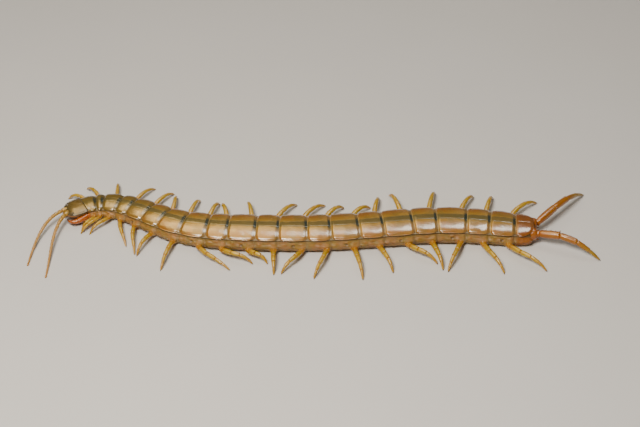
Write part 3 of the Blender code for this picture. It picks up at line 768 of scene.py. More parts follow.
def add_claw(shape, curve, start, radius, sides=10):
    """The dark curved claw at a limb's end."""
    places = np.linspace(0, 1, 9)
    path = along_curve(curve, start + (1 - start) * places)
    radii = radius * (1 - places**LIMB_CLAW_TAPER) + LIMB_CLAW_TIP
    arch = LIMB_CLAW_ARCH * radius * np.sin(math.pi * places)
    path[:, 2] = np.maximum(path[:, 2] + arch, radii)
    dark = smooth(places / LIMB_CLAW_DARK_FROM)[:, None]
    shape.add_tube(rings_along(path, radii, sides), along=1.0, dark=dark)


# Materials

def put(tree, socket, value):
    """Give a socket a number, a colour or another socket."""
    if isinstance(value, bpy.types.NodeSocket):
        tree.links.new(value, socket)
    elif isinstance(value, tuple):
        socket.default_value = (*value, 1.0)
    else:
        socket.default_value = value


def maths(tree, operation, *values):
    """A sum of up to three values."""
    node = tree.nodes.new("ShaderNodeMath")
    node.operation = operation
    for socket, value in zip(node.inputs, values):
        put(tree, socket, value)
    return node.outputs[0]


def ramp(tree, value, stops):
    """A smooth grey ramp through (place, value) stops."""
    node = tree.nodes.new("ShaderNodeValToRGB")
    node.color_ramp.interpolation = "EASE"
    elements = node.color_ramp.elements
    while len(elements) < len(stops):
        elements.new(0.5)
    for element, (place, level) in zip(elements, stops):
        element.position = place
        element.color = (level, level, level, 1.0)
    put(tree, node.inputs[0], value)
    return node.outputs[0]


def mixed(tree, share, a, b):
    """Colour a with colour b laid over it by share."""
    node = tree.nodes.new("ShaderNodeMix")
    node.data_type = "RGBA"
    put(tree, node.inputs["Factor"], share)
    put(tree, node.inputs["A"], a)
    put(tree, node.inputs["B"], b)
    return node.outputs["Result"]


def spread(tree, size, detail=3.0, stretch=(1, 1, 1), kind="ShaderNodeTexNoise"):
    """Noise over the animal, size its grain in millimetres."""
    place = tree.nodes.new("ShaderNodeTexCoord")
    scaled = tree.nodes.new("ShaderNodeMapping")
    scaled.inputs["Scale"].default_value = [1 / (size * MM * k) for k in stretch]
    put(tree, scaled.inputs["Vector"], place.outputs["Object"])
    node = tree.nodes.new(kind)
    node.inputs["Scale"].default_value = 1.0
    put(tree, node.inputs["Vector"], scaled.outputs[0])
    if kind == "ShaderNodeTexNoise":
        node.inputs["Detail"].default_value = detail
        return node.outputs["Fac"]
    return node.outputs["Distance"]


def value_of(tree, what):
    """The float field of this name, noise of this size and detail, or a socket as it is."""
    if isinstance(what, str):
        node = tree.nodes.new("ShaderNodeAttribute")
        node.attribute_name = what
        return node.outputs["Fac"]
    return spread(tree, *what) if isinstance(what, tuple) else what


def layered(tree, colour, layers):
    """A colour under (what, strength, colour) layers, where a strength is a ramp's stops or a factor."""
    for what, strength, over in layers:
        share = value_of(tree, what)
        if isinstance(strength, tuple):
            share = ramp(tree, share, strength)
        elif strength != 1:
            share = maths(tree, "MULTIPLY", share, strength)
        colour = mixed(tree, share, colour, over)
    return colour


def new_material(name):
    """A material and its nodes."""
    material = bpy.data.materials.new(name)
    material.use_nodes = True
    return material, material.node_tree


def finish(material, colour, polish, bumps, coat=0.35, coat_roughness=0.12, scatter=0):
    """Colour, uneven polish under a clear coat, light scattered inside, and bumps as (what, depth) rows."""
    tree = material.node_tree
    shader = tree.nodes["Principled BSDF"]
    low, high, grain = polish
    put(tree, shader.inputs["Base Color"], colour)
    put(tree, shader.inputs["Roughness"], maths(tree, "MULTIPLY_ADD", spread(tree, grain), high - low, low))
    shader.inputs["Coat Weight"].default_value = coat
    shader.inputs["Coat Roughness"].default_value = coat_roughness
    shader.inputs["IOR"].default_value = CHITIN_IOR
    if scatter:
        shader.inputs["Subsurface Weight"].default_value = SCATTER_SHARE
        shader.inputs["Subsurface Scale"].default_value = scatter * MM
    normal = None
    for what, depth in bumps:
        node = tree.nodes.new("ShaderNodeBump")
        node.inputs["Distance"].default_value = depth * MM
        put(tree, node.inputs["Height"], value_of(tree, what))
        if normal:
            put(tree, node.inputs["Normal"], normal)
        normal = node.outputs[0]
    put(tree, shader.inputs["Normal"], normal)
    return material


def plain_material(name, colour, layers, polish, bumps, **more):
    """A material whose layers are all fields and noise."""
    material, tree = new_material(name)
    return finish(material, layered(tree, colour, layers), polish, bumps, **more)


def plate_material():
    """Back plates: golden sides, a dark olive middle between the sutures, and a dark blue-green rear band."""
    material, tree = new_material("back_plate")
    order = value_of(tree, "order")
    across = maths(tree, "ABSOLUTE", value_of(tree, "across"))
    uneven = maths(tree, "SUBTRACT", spread(tree, 1.6), 0.5)

    def wavering(what, amount):
        """A value with an uneven edge."""
        return maths(tree, "MULTIPLY_ADD", uneven, amount, value_of(tree, what))

    calm = ramp(tree, order, ((0.0, 0.45), (0.3, 0.85), (0.93, 0.85), (1.0, 0.1)))
    strip = ramp(tree, wavering(across, 0.22), ((0.10, 0.95), (0.24, 0)))
    from_suture = maths(tree, "ABSOLUTE", maths(tree, "SUBTRACT", across, SUTURE_PLACE))
    sutures = ramp(tree, from_suture, ((0.005, 0.85), (0.032, 0)))
    band = ramp(tree, wavering("to_rear", 0.5), ((0.60, 1), (1.15, 0)))
    band = maths(tree, "MULTIPLY", band, ramp(tree, order, ((0.95, 1), (1.0, 0))))
    inner = ramp(tree, across, ((0.16, 1), (0.50, 0.28)))
    # A pale painted highlight along the front edge of the later plates; the first plates get a dark front
    # edge.
    front_lip, painted_highlight_lip = (0.07, 0.055, 0.015), (0.50, 0.36, 0.13)
    lip_with_painted_highlight = mixed(tree, ramp(tree, order, ((0.08, 0), (0.22, 1))), front_lip, painted_highlight_lip)
    middle_colour = (0.33, 0.170, 0.010)
    layers = (
        (wavering(across, 0.5), ((0.22, 0), (0.70, 1)), (0.29, 0.102, 0.003)),  # sides
        (wavering("along", 0.5), ((0.35, 0), (0.9, 0.3)), (0.48, 0.30, 0.08)),  # paler rear
        ((2.6,), ((0.46, 0), (0.64, 0.55)), (0.19, 0.12, 0.015)),  # olive patches
        (order, ((0.10, 0.9), (0.34, 0)), (0.155, 0.098, 0.009)),  # olive front plates
        (order, ((0.94, 0), (1.0, 0.9)), (0.23, 0.060, 0.002)),  # orange last plate
        (strip, calm, (0.080, 0.072, 0.022)),
        (sutures, calm, (0.060, 0.062, 0.018)),
        (band, inner, (0.014, 0.030, 0.022)),
        # painted highlight at the plates' front edges
        ("to_front", ((0.20, 0.4), (0.42, 0)), lip_with_painted_highlight),
        ("to_side", ((0.05, 0.85), (0.30, 0)), (0.12, 0.060, 0.014)),  # rim
        ((0.28, 5), ((0.32, 0.35), (0.60, 0)), (0.13, 0.075, 0.020)),  # freckles
    )
    bumps = (((0.28, 5), 0.014), ((0.3, 3, (1.0, 0.4, 1.0)), 0.012), ((1.1, 2), 0.02))
    colour = layered(tree, middle_colour, layers)
    return finish(material, colour, (0.18, 0.31, 0.8), bumps, coat=0.8, coat_roughness=0.16)


def head_material():
    """Head plate: olive to ochre with a dark edge."""
    material, tree = new_material("head_chitin")
    pits = ramp(tree, spread(tree, 0.16, kind="ShaderNodeTexVoronoi"), ((0.0, 0), (0.35, 1)))
    layers = (
        ((1.3,), 1, (0.165, 0.092, 0.010)),
        ("along", ((0.45, 0), (1.0, 0.75)), (0.050, 0.036, 0.008)),
        ("to_side", ((0.15, 0.97), (1.2, 0)), (0.030, 0.022, 0.010)),
        ((0.2, 5), ((0.3, 0.35), (0.6, 0)), (0.10, 0.07, 0.03)),
    )
    colour = layered(tree, (0.105, 0.062, 0.006), layers)
    return finish(material, colour, (0.22, 0.36, 0.6), ((pits, 0.012), ((0.2, 5), 0.03)))


def skin_material():
    """Soft skin of the flanks: tan with pinkish and olive patches, brown plates, orange hips and tail."""
    layers = (
        ((3.5,), ((0.38, 0), (0.62, 1)), (0.28, 0.13, 0.038)),
        ((1.2,), ((0.45, 0), (0.65, 0.7)), (0.20, 0.13, 0.025)),
        ("plate", 0.7, (0.30, 0.125, 0.010)),
        ("coxa", 0.9, (0.42, 0.16, 0.004)),
        ("tail", 1, (0.28, 0.085, 0.003)),
        ("fold", 0.6, (0.22, 0.14, 0.05)),
        # painted shade: dark olive on the skin just under the plates' margins
        ("margin", 0.85, (0.085, 0.055, 0.014)),
        ("breath", 0.75, (0.07, 0.038, 0.015)),
    )
    bumps = (((0.22, 5), 0.05), ((0.35, 4, (2.2, 1.0, 0.5)), 0.09))
    polish = {"polish": (0.42, 0.62, 0.5), "coat": 0.1, "coat_roughness": 0.25, "scatter": 0.6}
    return plain_material("flank_skin", (0.25, 0.140, 0.016), layers, bumps=bumps, **polish)


def limb_material(name, colours):
    """A limb's chitin, coloured from its root to its end, dark at its joints and claw."""
    near, middle, far, claw, ring = colours
    layers = (
        ("along", ((0.0, 0), (0.30, 1)), middle),
        ("along", ((0.50, 0), (0.85, 1)), far),
        ((0.9,), ((0.35, 0.30), (0.65, 0)), ring),
        ("joint", 0.55, ring),
        ("dark", 1, claw),
    )
    bumps = (((0.16, 5), 0.02), ((0.7, 2), 0.04))
    return plain_material(name, near, layers, (0.26, 0.42, 0.5), bumps, coat=0.25, scatter=0.5)


def poison_claw_material():
    """Poison claws: chestnut red, darkening to black-brown fangs."""
    layers = (
        ((0.8,), 1, (0.48, 0.115, 0.004)),
        ("along", ((0.72, 0), (0.93, 1)), (0.025, 0.010, 0.006)),
        ("joint", 0.7, (0.10, 0.03, 0.012)),
    )
    bumps = (((0.15, 4), 0.015), ((0.8, 2), 0.04))
    polish = {"polish": (0.20, 0.32, 0.5), "coat": 0.5, "coat_roughness": 0.08}
    return plain_material("poison_claw", (0.34, 0.065, 0.003), layers, bumps=bumps, **polish)


def chitin_material(name, dark, light):
    """Plain chitin between two colours."""
    return plain_material(name, dark, (((0.9,), 1, light),), (0.28, 0.42, 0.5), (((0.18, 5), 0.03),))


def eye_material():
    """Black polished lenses."""
    layers = (((0.3,), 1, (0.02, 0.014, 0.01)),)
    polish = {"polish": (0.05, 0.1, 0.4), "coat": 1.0, "coat_roughness": 0.03}
    return plain_material("eye_lens", (0.006, 0.005, 0.005), layers, bumps=(((0.2, 2), 0.004),), **polish)


# Trunk

EDGE_STEPS = np.array((0.0, 0.015, 0.045, 0.09, 0.15, 0.23, 0.33, 0.45))
MARGIN_STEPS = np.array((0.0, 0.006, 0.014, 0.024, 0.036, 0.05))
SUTURE_STEPS = np.linspace(-0.02, 0.02, 9)
MIDDLE_STEPS = np.linspace(0, 0.94, 36)


def from_edges(length, step):
    """Places from 0 to length, close together at both ends."""
    count = max(3, int(round((length - 2 * EDGE_STEPS[-1]) / step)))
    inner = np.linspace(EDGE_STEPS[-1], length - EDGE_STEPS[-1], count + 1)[1:-1]
    return np.concatenate((EDGE_STEPS, inner, length - EDGE_STEPS[::-1]))


def plate_columns():
    """Angles across a back plate from -1 to 1, close together at its margins and sutures."""
    suture = math.asin(SUTURE_PLACE) * 2 / math.pi + SUTURE_STEPS
    half = np.unique(np.concatenate((MIDDLE_STEPS, suture, 1 - MARGIN_STEPS)))
    return np.concatenate((-half[:0:-1], half))


def corner_pull(share, half, radius):
    """How far a plate's edge is drawn in at its rounded corners."""
    t = np.clip((np.abs(share) * half - (half - radius)) / radius, 0, 1)
    return radius * (1 - np.sqrt(1 - t * t))


def back_plate(number, material):
    """One back plate, a thin arched shell whose rear edge lies over the front of the next."""
    start, end = JOINTS[number], JOINTS[number + 1]
    first, last = number == 1, number == LAST_SEGMENT
    front = start - FIRST_PLATE_REACH if first else start + PLATE_TUCK
    rear = end - LAST_PLATE_CUT if last else end + PLATE_OVERLAP
    length = rear - front
    run, angle = np.meshgrid(from_edges(length, PLATE_STEP), plate_columns() * math.pi / 2, indexing="ij")
    share = np.sin(angle)
    dome = np.maximum(np.cos(angle), 0) ** ARCH_POWER

    half = trunk_width((start + end) / 2) / 2
    front_radius = min(CORNER_RADIUS, CORNER_SHARE * length)
    front_pull = corner_pull(share, half, front_radius)
    rear_pull = corner_pull(share, half, LAST_REAR_RADIUS if last else front_radius)
    part = run / length
    s = front + front_pull + part * (length - front_pull - rear_pull)
    width = trunk_width(np.clip(s, start, end))
    half = width / 2 * (1 - PLATE_WAIST * (2 * part - 1) ** 2)
    crown, margin = trunk_heights(width)
    points = on_trunk(s, share * half, margin + dome * (crown - margin))

    to_rear = length - run
    to_side = (crown - margin) * dome + half * (1 - np.abs(share))
    lift = PLATE_BULGE * (np.sin(math.pi * part) - PLATE_BULGE_SUNK)
    if first:
        lift += FIRST_PLATE_RISE * (1 - smooth(run / FIRST_PLATE_SLOPE))
    else:
        lift -= PLATE_FRONT_DEPTH * (1 - smooth(run / PLATE_FRONT_SLOPE))
    rear_dip = PLATE_REAR_DIP * (1 - share**4 if last else 1.0)
    lift -= rear_dip * (1 - smooth(to_rear / PLATE_REAR_SLOPE))
    if last:
        lift -= LAST_GROOVE_DEPTH * bell(share * half, LAST_GROOVE_WIDTH) * smooth(run)
    elif not first:
        sutures = bell((np.abs(share) - SUTURE_PLACE) * half, SUTURE_WIDTH)
        lift -= SUTURE_DEPTH * sutures * smooth(run / SUTURE_START - 1)
    if number >= RIM_FROM:
        lift += ridges(to_side, PLATE_RIM)
    for height, wavelength, seed in PLATE_RIPPLES:
        lift += height * ripples(points, wavelength, seed + number)
    top, bottom = plate_faces(points, lift, np.minimum(np.minimum(run, to_rear), to_side))

    shape = Shape()
    order = (number - 1) / (LAST_SEGMENT - 1)
    places = {"along": part, "across": share, "to_rear": to_rear, "to_front": run, "to_side": to_side}
    shape.add_shell(top, bottom, order=order, **places)
    shape.build(f"back_plate_{number:02d}", material, fold=60)


def hip(number, sign):
    """Where a walking leg starts, the way it sets out, and the outward and tail directions there."""
    start, end = JOINTS[number], JOINTS[number + 1]
    s = start + np.interp(number, HIP_PLACE_NUMBERS, HIP_PLACES) * (end - start)
    point, tail, left = frames(s)
    outward = left * sign
    swing, reach = of_side(STANCES, sign)[number - 1]
    level = swung(outward, tail, swing * HIP_SHARE_OF_SWING)
    base = point + outward * (trunk_width(s) / 2 + HIP_OUT) + UP * HIP_HEIGHT
    return base, swung(level, UP, HIP_PITCH), outward, tail


def skin_grid():
    """The smooth skin of the trunk: s, level and margin height over a grid, its points and normals."""
    half_section = evenly(spline(SKIN_SECTION, 12), SKIN_POINTS_ROUND // 2 + 1)
    share, level = np.concatenate((half_section, half_section[-2:0:-1] * (-1, 1))).T
    front, rear = JOINTS[1] - SKIN_FRONT, JOINTS[-1] + SKIN_REAR
    s = np.linspace(front, rear, int((rear - front) / SKIN_STEP))[:, None]
    width = trunk_width(s)
    crown, margin = trunk_heights(width)
    closing = np.clip((s - (rear - SKIN_ROUNDING)) / SKIN_ROUNDING, 0, 1)
    neck = NECK_SIZE + (1 - NECK_SIZE) * slope(s, front, NECK_LENGTH)
    size = np.sqrt(1 - (SKIN_CLOSED * closing) ** 2) * neck

    s, share = np.broadcast_arrays(s, share)
    level = np.broadcast_to(level, s.shape)
    sunk = SKIN_SINK * slope(level, *SINK_ASIDE) * np.minimum(1, np.abs(share) * 3)
    y = share * (width / 2) - np.sign(share) * sunk
    low = BELLY + level * (margin - BELLY)
    high = margin + (level - 1) * (crown - margin)
    z = np.where(level > 1, high, low) - SKIN_SINK * slope(level, *SINK_DOWN)
    middle = (BELLY + margin) / 2
    points = on_trunk(s, y * size, middle + (z - middle) * size)
    normals = grid_normals(points, wrap=True)
    centre = on_trunk(s, np.zeros_like(s), np.broadcast_to(middle, s.shape))
    normals *= np.sign(((points - centre) * normals).sum(axis=-1).mean())
    return s, level, margin, points, normals


def from_oval(s, level, margin, start, end, oval):
    """Distance of the skin's points from an oval's middle, 1 at its edge."""
    place, up, long, tall = oval
    return np.hypot((s - start - place * (end - start)) / long, (level - up) * (margin - BELLY) / tall)


def skin(material):
    """The soft skin of the whole trunk in one piece, with folds, small plates, breathing holes and hips."""
    s, level, margin, points, normals = skin_grid()
    number = np.clip(np.searchsorted(JOINTS, s) - 1, 1, LAST_SEGMENT)
    start, end = JOINTS[number], JOINTS[number + 1]
    flank = slope(level, *FLANK_FROM) * (1 - slope(level, *FLANK_TO))
    fold = bell(np.minimum(np.abs(s - start), np.abs(end - s)), FOLD_WIDTH) * flank
    lift = -FOLD_DEPTH * fold
    lift += WRINKLE_DEPTH * flank * np.sin(math.tau * (WRINKLES * level + 0.10 * ripples(points, 3.0, 4)))
    lift += GRAIN_DEPTH * flank * ripples(points * GRAIN_STRETCH, 1.0, 5)

    away = np.min([from_oval(s, level, margin, start, end, oval) for oval in FLANK_PLATES], axis=0)
    small = smooth((1 - away) * 3) * flank
    lift += FLANK_PLATE_RISE * small
    breath = np.zeros_like(s)
    for segment in BREATHING_SEGMENTS:
        away = from_oval(s, level, margin, JOINTS[segment], JOINTS[segment + 1], BREATHING_HOLE)
        breath = np.maximum(breath, smooth((1.2 - away) * 2))
        lift += ridges(away, (BREATHING_RIM,))
    lift -= BREATHING_DEPTH * breath
    coxa = np.zeros_like(s)
    for segment in range(1, LAST_SEGMENT):
        for _, sign in SIDES:
            base, direction, outward, tail = hip(segment, sign)
            away = np.linalg.norm(points - (base - outward * HIP_OUT), axis=-1)
            coxa = np.maximum(coxa, bell(away, HIP_SWELLING_WIDTH))
    lift += HIP_SWELLING * coxa * flank

    shape = Shape()
    # The margin field is painted shade under the plates' margins, fading out behind the last plate.
    under = slope(level, *SHADE_UNDER_PLATES) * (1 - TAIL_BARE_SHARE * slope(s - JOINTS[-1], *TAIL_BARE))
    tail = slope(s - JOINTS[-2], *TAIL_ORANGE)
    fields = {"fold": fold, "plate": small, "coxa": coxa, "breath": breath, "margin": under, "tail": tail}
    shape.add_tube(points + normals * lift[..., None], **fields)
    nodes = [f"trunk_{n:02d}_{n + 1:02d}" for n in range(1, LAST_SEGMENT, 2)] + [f"trunk_{LAST_SEGMENT}"]
    shape.build("trunk_skin", material, nodes)


def belly_plate(number, material):
    """One belly plate, a thin rounded shell with two grooves."""
    start, end = JOINTS[number], JOINTS[number + 1]
    length = end - start - BELLY_GAP
    columns = np.linspace(-1, 1, BELLY_COLUMNS)
    run, share = np.meshgrid(from_edges(length, BELLY_STEP), columns, indexing="ij")
    half = trunk_width((start + end) / 2) / 2 * BELLY_HALF_SHARE
    pull = corner_pull(share, half, min(BELLY_CORNER_RADIUS, BELLY_CORNER_SHARE * length))
    s = start + BELLY_FRONT + pull + run / length * (length - 2 * pull)
    width = trunk_width(s) / 2 * BELLY_HALF_SHARE
    points = on_trunk(s, share * width, BELLY - BELLY_SINK + BELLY_CURVE * share**4)
    to_side = np.minimum(np.minimum(run, length - run), (1 - np.abs(share)) * half)
    grooves = bell((np.abs(share) - BELLY_GROOVE_PLACE) * half, BELLY_GROOVE_WIDTH)
    lift = BELLY_RELIEF * (1 - smooth(to_side / BELLY_RIM_WIDTH) + grooves)
    height, wavelength, seed = BELLY_RIPPLE
    lift -= height * ripples(points, wavelength, seed + number)
    lower = points + UP * lift[..., None]
    shape = Shape()
    shape.add_shell(lower + UP * BELLY_THICKNESS, lower)
    shape.build(f"belly_plate_{number:02d}", material, fold=60)


# Walking legs

def leg_curve(number, sign):
    """Control points of a walking leg, from the hip over the knee to the floor."""
    base, direction, outward, tail = hip(number, sign)
    swing, reach = of_side(STANCES, sign)[number - 1]
    length = float(np.interp(number, LEG_NUMBERS, LEG_LENGTHS))
    slack = math.sqrt(max(length**2 - reach**2, 0))
    knee = min(KNEE_MOST, max(KNEE_LEAST, KNEE_PER_SLACK * slack))
    way = swung(outward, tail, swing)
    foot = base + way * reach
    foot[2] = 0
    thigh = base + direction * (THIGH_SHARE * reach)
    return base, thigh, foot - way * (SHIN_SHARE * reach) + UP * knee, foot


def limb_hairs(shape, curve, articles, scale, hairs, seed):
    """Sparse fine hairs over a limb."""
    draw = np.random.default_rng(seed)
    count, length = hairs
    start = 0.0
    for end, thick, thin in articles:
        shares = start + (end - start) * draw.uniform(*HAIR_SPAN, count)
        points, ahead, out = hair_roots(curve, shares, 0.02, draw)
        radius = (thick + thin) / 2 * scale * HAIR_ROOT
        ways = unit(out + ahead * draw.uniform(*HAIR_LEAN, count)[:, None])
        lengths = length * draw.uniform(*HAIR_LENGTHS, count)[:, None]
        add_hairs(shape, points + out * radius, ways, lengths, HAIR_RADIUS, along=0.9, joint=0.4)
        start = end


def walking_leg(name, number, sign, material):
    """A walking leg: coxa, six articles, claw, spurs and hairs."""
    base, direction, outward, tail = hip(number, sign)
    scale = float(np.interp(number, LEG_NUMBERS, LEG_THICKNESS))
    curve = leg_curve(number, sign)
    shape = Shape()
    bend = smooth(1 - COXA_DEPTHS / COXA_DEPTHS[0])[:, None]
    ways = unit(outward * (1 - bend) + direction * bend)
    path = base - outward * COXA_DEPTHS[:, None]
    joint = bell(COXA_DEPTHS, COXA_RING)[:, None]
    shape.add_tube(rings_along(path, COXA_RADII * scale, LEG_SIDES, COXA_TALL, ways), joint=joint)
    end = add_articles(shape, curve, LEG_ARTICLES, LEG_SIDES, scale=scale)
    add_claw(shape, curve, end, LEG_CLAW_RADIUS * scale)
    for share, size in LEG_SPURS:
        place, ahead = along_curve(curve, (share, share + 0.03))
        root = place - UP * (SPUR_DEPTH * scale)
        tip = root + unit(ahead - place) * size - UP * SPUR_DROP
        tip[2] = max(tip[2], SPUR_LOWEST)
        shape.add_tube(spike(root, tip, SPUR_RADIUS), along=1.0, dark=0.8)
    limb_hairs(shape, curve, LEG_ARTICLES[1:], scale, LEG_HAIRS, 300 + number * 2 + (sign > 0))
    shape.build(f"walking_leg_{name}_{number:02d}", material, [f"leg_{name}_{number:02d}"], fold=50)


# Last pair of legs

def tail_hip(sign):
    """Where a last leg starts, the way it sets out, and the outward and tail directions there."""
    point, tail, left = frames(JOINTS[-1])
    outward = left * sign
    level = swung(tail, outward, of_side(TAIL_LEG_TURNS, sign))
    out, height = TAIL_HIP
    base = point + tail * TAIL_HIP_BEHIND + outward * out + UP * height
    return base, swung(level, UP, TAIL_HIP_PITCH), outward, tail


def tail_curve(sign):
    """Control points of a last leg."""
    base, direction, outward, tail = tail_hip(sign)
    back, out = of_side(TAIL_LEG_FEET, sign)
    foot = base + tail * back + outward * out
    foot[2] = 0
    shin = foot - unit(foot - base) * TAIL_SHIN
    shin[2] = TAIL_LEG_ARCH
    return base, base + direction * TAIL_THIGH, shin, foot


def add_leg_spine(shape, curve, sign, place, turn, size):
    """One dark-tipped spine on a last leg's prefemur."""
    centre, ahead = along_curve(curve, (place, place + 0.02))
    ahead = unit(ahead - centre)
    side, over = square_to(ahead)
    normal = swung(side * -sign, UP, turn)
    root = centre + normal * SPINE_OUT
    tip = root + unit(normal + ahead * SPINE_LEAN) * (size + SPINE_ROOTED)
    dark = slope(SPINE_RUN, *SPINE_DARK)[:, None]
    shape.add_tube(spike(root, tip, SPINE_RADIUS), along=0.2, dark=dark)


def tail_leg(name, sign, material):
    """A last leg: stout spined prefemur, femur, tibia, two tarsi and claw."""
    curve = tail_curve(sign)
    shape = Shape()
    end = add_articles(shape, curve, TAIL_ARTICLES, TAIL_LEG_SIDES, tall=1.0)
    add_claw(shape, curve, end, TAIL_CLAW_RADIUS, 12)
    for turn, size in SPINE_ROWS:
        for k, place in enumerate(SPINE_PLACES):
            uneven = SPINE_UNEVEN * (turn % 3)
            add_leg_spine(shape, curve, sign, place + uneven, turn, size - SPINE_SHORTENING * k)
    for place, turn, size in END_SPINES:
        add_leg_spine(shape, curve, sign, place, turn, size)
    limb_hairs(shape, curve, TAIL_ARTICLES[1:], 1.0, TAIL_LEG_HAIRS, 500 + sign)
    shape.build(f"last_leg_{name}", material, [f"tail_leg_{name}"], fold=50)


def tail_base(name, sign, material):
    """The swollen side plate of the last segment that carries a last leg, with its pointed process."""
    base, direction, outward, tail = tail_hip(sign)
    back, out, up = TAIL_BASE_START
    start = base + tail * back + outward * out + UP * up
    shares = (TAIL_BASE_DEPTHS / TAIL_BASE_DEPTHS[0])[:, None]
    path = base + (start - base) * shares + UP * (TAIL_BASE_BOW * np.sin(math.pi * shares))
    shape = Shape()
    joint = bell(TAIL_BASE_DEPTHS, TAIL_BASE_RING)[:, None]
    rings = rings_along(path, TAIL_BASE_RADII, TAIL_BASE_SIDES, TAIL_BASE_TALL)
    shape.add_tube(rings, along=0.05, joint=joint)
    back, out, up = TAIL_PROCESS_ROOT
    root = frames(JOINTS[-1])[0] + tail * back + outward * out + UP * up
    t = np.linspace(0, 1, 9)
    path = root + unit(tail + outward * TAIL_PROCESS_OUTWARD) * (TAIL_PROCESS_LENGTH * t[:, None])
    radii = TAIL_PROCESS_RADIUS * (1 - t) ** TAIL_PROCESS_TAPER + TAIL_PROCESS_TIP
    dark = slope(t, *TAIL_PROCESS_DARK)[:, None]
    shape.add_tube(rings_along(path, radii, TAIL_PROCESS_SIDES), along=0.1, dark=dark)
    shape.build(f"tail_base_{name}", material, fold=50)


# Head

def head_half_width(f):
    """Half the head plate's width at f."""
    ahead = np.clip((f - HEAD_WIDEST) / (HEAD_LENGTH - HEAD_WIDEST), 0, 1)
    behind = np.clip((HEAD_WIDEST - f) / HEAD_WIDEST, 0, 1)
    rounded = (1 - ahead**HEAD_ROUNDNESS) ** (1 / HEAD_ROUNDNESS)
    return HEAD_WIDTH / 2 * rounded * (1 - HEAD_NARROWING * behind**2)


def head_heights(f):
    """Heights of the head's crown and of its plate's margin at f."""
    dip = np.clip((f - HEAD_DIP_FROM) / (HEAD_LENGTH - HEAD_DIP_FROM), 0, 1) ** 2
    return HEAD_CROWN - HEAD_CROWN_DIP * dip, HEAD_MARGIN - HEAD_MARGIN_DIP * dip


def head_dome(f, y, heights):
    """Height of the head plate over a place, between these heights of its crown and margin."""
    crown, margin = heights
    n = HEAD_ROUNDNESS
    ahead = np.clip((f - HEAD_WIDEST) / (HEAD_LENGTH - HEAD_WIDEST), 0, 1)
    out = (ahead**n + np.abs(y / (HEAD_WIDTH / 2)) ** n) ** (1 / n)
    return margin + (crown - margin) * (1 - np.clip(out, 0, 1) ** 2) ** HEAD_DOME_POWER


def head_outline(angles):
    """Points of the head plate's outline, forward and sideways of its widest place, at these angles."""
    ahead, aside = np.cos(angles), np.sin(angles)

    def reach(length, n):
        """Distance to a rounded outline of this length and roundness."""
        return (np.abs(ahead / length) ** n + np.abs(aside / (HEAD_WIDTH / 2)) ** n) ** (-1 / n)

    front = reach(HEAD_LENGTH - HEAD_WIDEST, HEAD_ROUNDNESS)
    away = np.where(ahead > 0, front, reach(HEAD_REAR, HEAD_REAR_ROUNDNESS))
    return away * ahead, away * aside


def head_plate(material):
    """The head plate: a smooth dome with a rounded front, its rear under the first back plate."""
    outline_f, outline_y = head_outline(np.linspace(0, math.tau, HEAD_SIDES, endpoint=False))
    edge = 1 - np.array((0.10, 0.075, 0.052, 0.034, 0.02, 0.01, 0.003, 0.0))
    k = np.concatenate((np.linspace(0.015, 0.86, 30), edge))[:, None]
    f = HEAD_WIDEST + k * outline_f
    y = k * outline_y
    points = on_head(f, y, head_dome(f, y, head_heights(f)))
    to_side = (1 - k) * np.hypot(outline_f, outline_y)
    lift = ridges(to_side, HEAD_RIM) - HEAD_REAR_DIP * (1 - slope(f, *HEAD_REAR_SLOPE))
    lift -= HEAD_GROOVE_DEPTH * bell(y, HEAD_GROOVE_WIDTH) * (1 - slope(f, *HEAD_GROOVE_SLOPE))
    height, wavelength, seed = HEAD_RIPPLE
    lift += height * ripples(points, wavelength, seed)
    top, bottom = plate_faces(points, lift, to_side, wrap=True)
    shape = Shape()
    fields = {"along": f / HEAD_LENGTH, "to_side": to_side}
    both = {name: np.concatenate((value, value[::-1])) for name, value in fields.items()}
    shape.add_tube(np.concatenate((top, bottom[::-1])), **both)
    shape.build("head_plate", material, ["head"], fold=60)


def head_body(material):
    """The head under its plate: cheeks and clypeus."""
    f = np.linspace(*HEAD_BODY_RUN)
    crown, margin = head_heights(f)
    half = head_half_width(np.clip(f, 0, None)) * HEAD_BODY_WIDTH
    low = HEAD_BODY_LOW - ridges(f, (MOUTH_SWELLING,))
    high = margin + HEAD_BODY_TOP * (crown - margin)
    y, z, _ = boxy_rings(half, low, high, HEAD_BODY_SIDES, HEAD_BODY_POWERS)
    shape = Shape()
    shape.add_tube(on_head(np.broadcast_to(f[:, None], y.shape), y, z))
    shape.build("head_body", material)


def feeler(name, sign, material):
    """A feeler of beaded articles, bare at its root and finely haired beyond."""
    _, tail, left = frames(HEAD_LENGTH)
    (root,) = head_curve((ANTENNA_ROOT,), sign)
    direction = swung(-tail, left * sign, of_side(ANTENNA_TURNS, sign))
    thick, thin = ANTENNA_RADII
    end = np.array((*of_side(ANTENNA_TIPS, sign), thin + ANTENNA_CLEARANCE))
    curve = (root, root + direction * ANTENNA_STRETCH, end + ANTENNA_LIE * ANTENNA_STRETCH, end)
    joints = np.arange(ANTENNA_ARTICLES + 1) / ANTENNA_ARTICLES
    radii = thick + (thin - thick) * joints**ANTENNA_TAPER
    articles = tuple(zip(joints[1:], radii, radii[1:]))
    shape = Shape()
    add_articles(shape, curve, articles, ANTENNA_SIDES, BEAD, straightened=0.5, tall=1.0)
    socket = rings_along(root - direction * SOCKET_DEPTHS[:, None], SOCKET_RADII, 24)
    shape.add_tube(socket, joint=bell(SOCKET_DEPTHS, 0.2)[:, None])
    draw = np.random.default_rng(700 + sign)
    for k, (share, start_radius, end_radius) in enumerate(articles):
        count, length = BARE_HAIRS if k < BARE_ARTICLES else FUR_HAIRS
        shares = share - draw.uniform(0.05, 0.95, count) / ANTENNA_ARTICLES
        points, ahead, out = hair_roots(curve, shares, 0.01, draw)
        rooted = points + out * (0.92 * (start_radius + end_radius) / 2)
        lengths = np.full((count, 1), length)
        add_hairs(shape, rooted, unit(out + ahead * 0.9), lengths, FUR_RADIUS, along=0.8, joint=0.3)
    shape.build(f"feeler_{name}", material, [f"antenna_{name}"], fold=50)


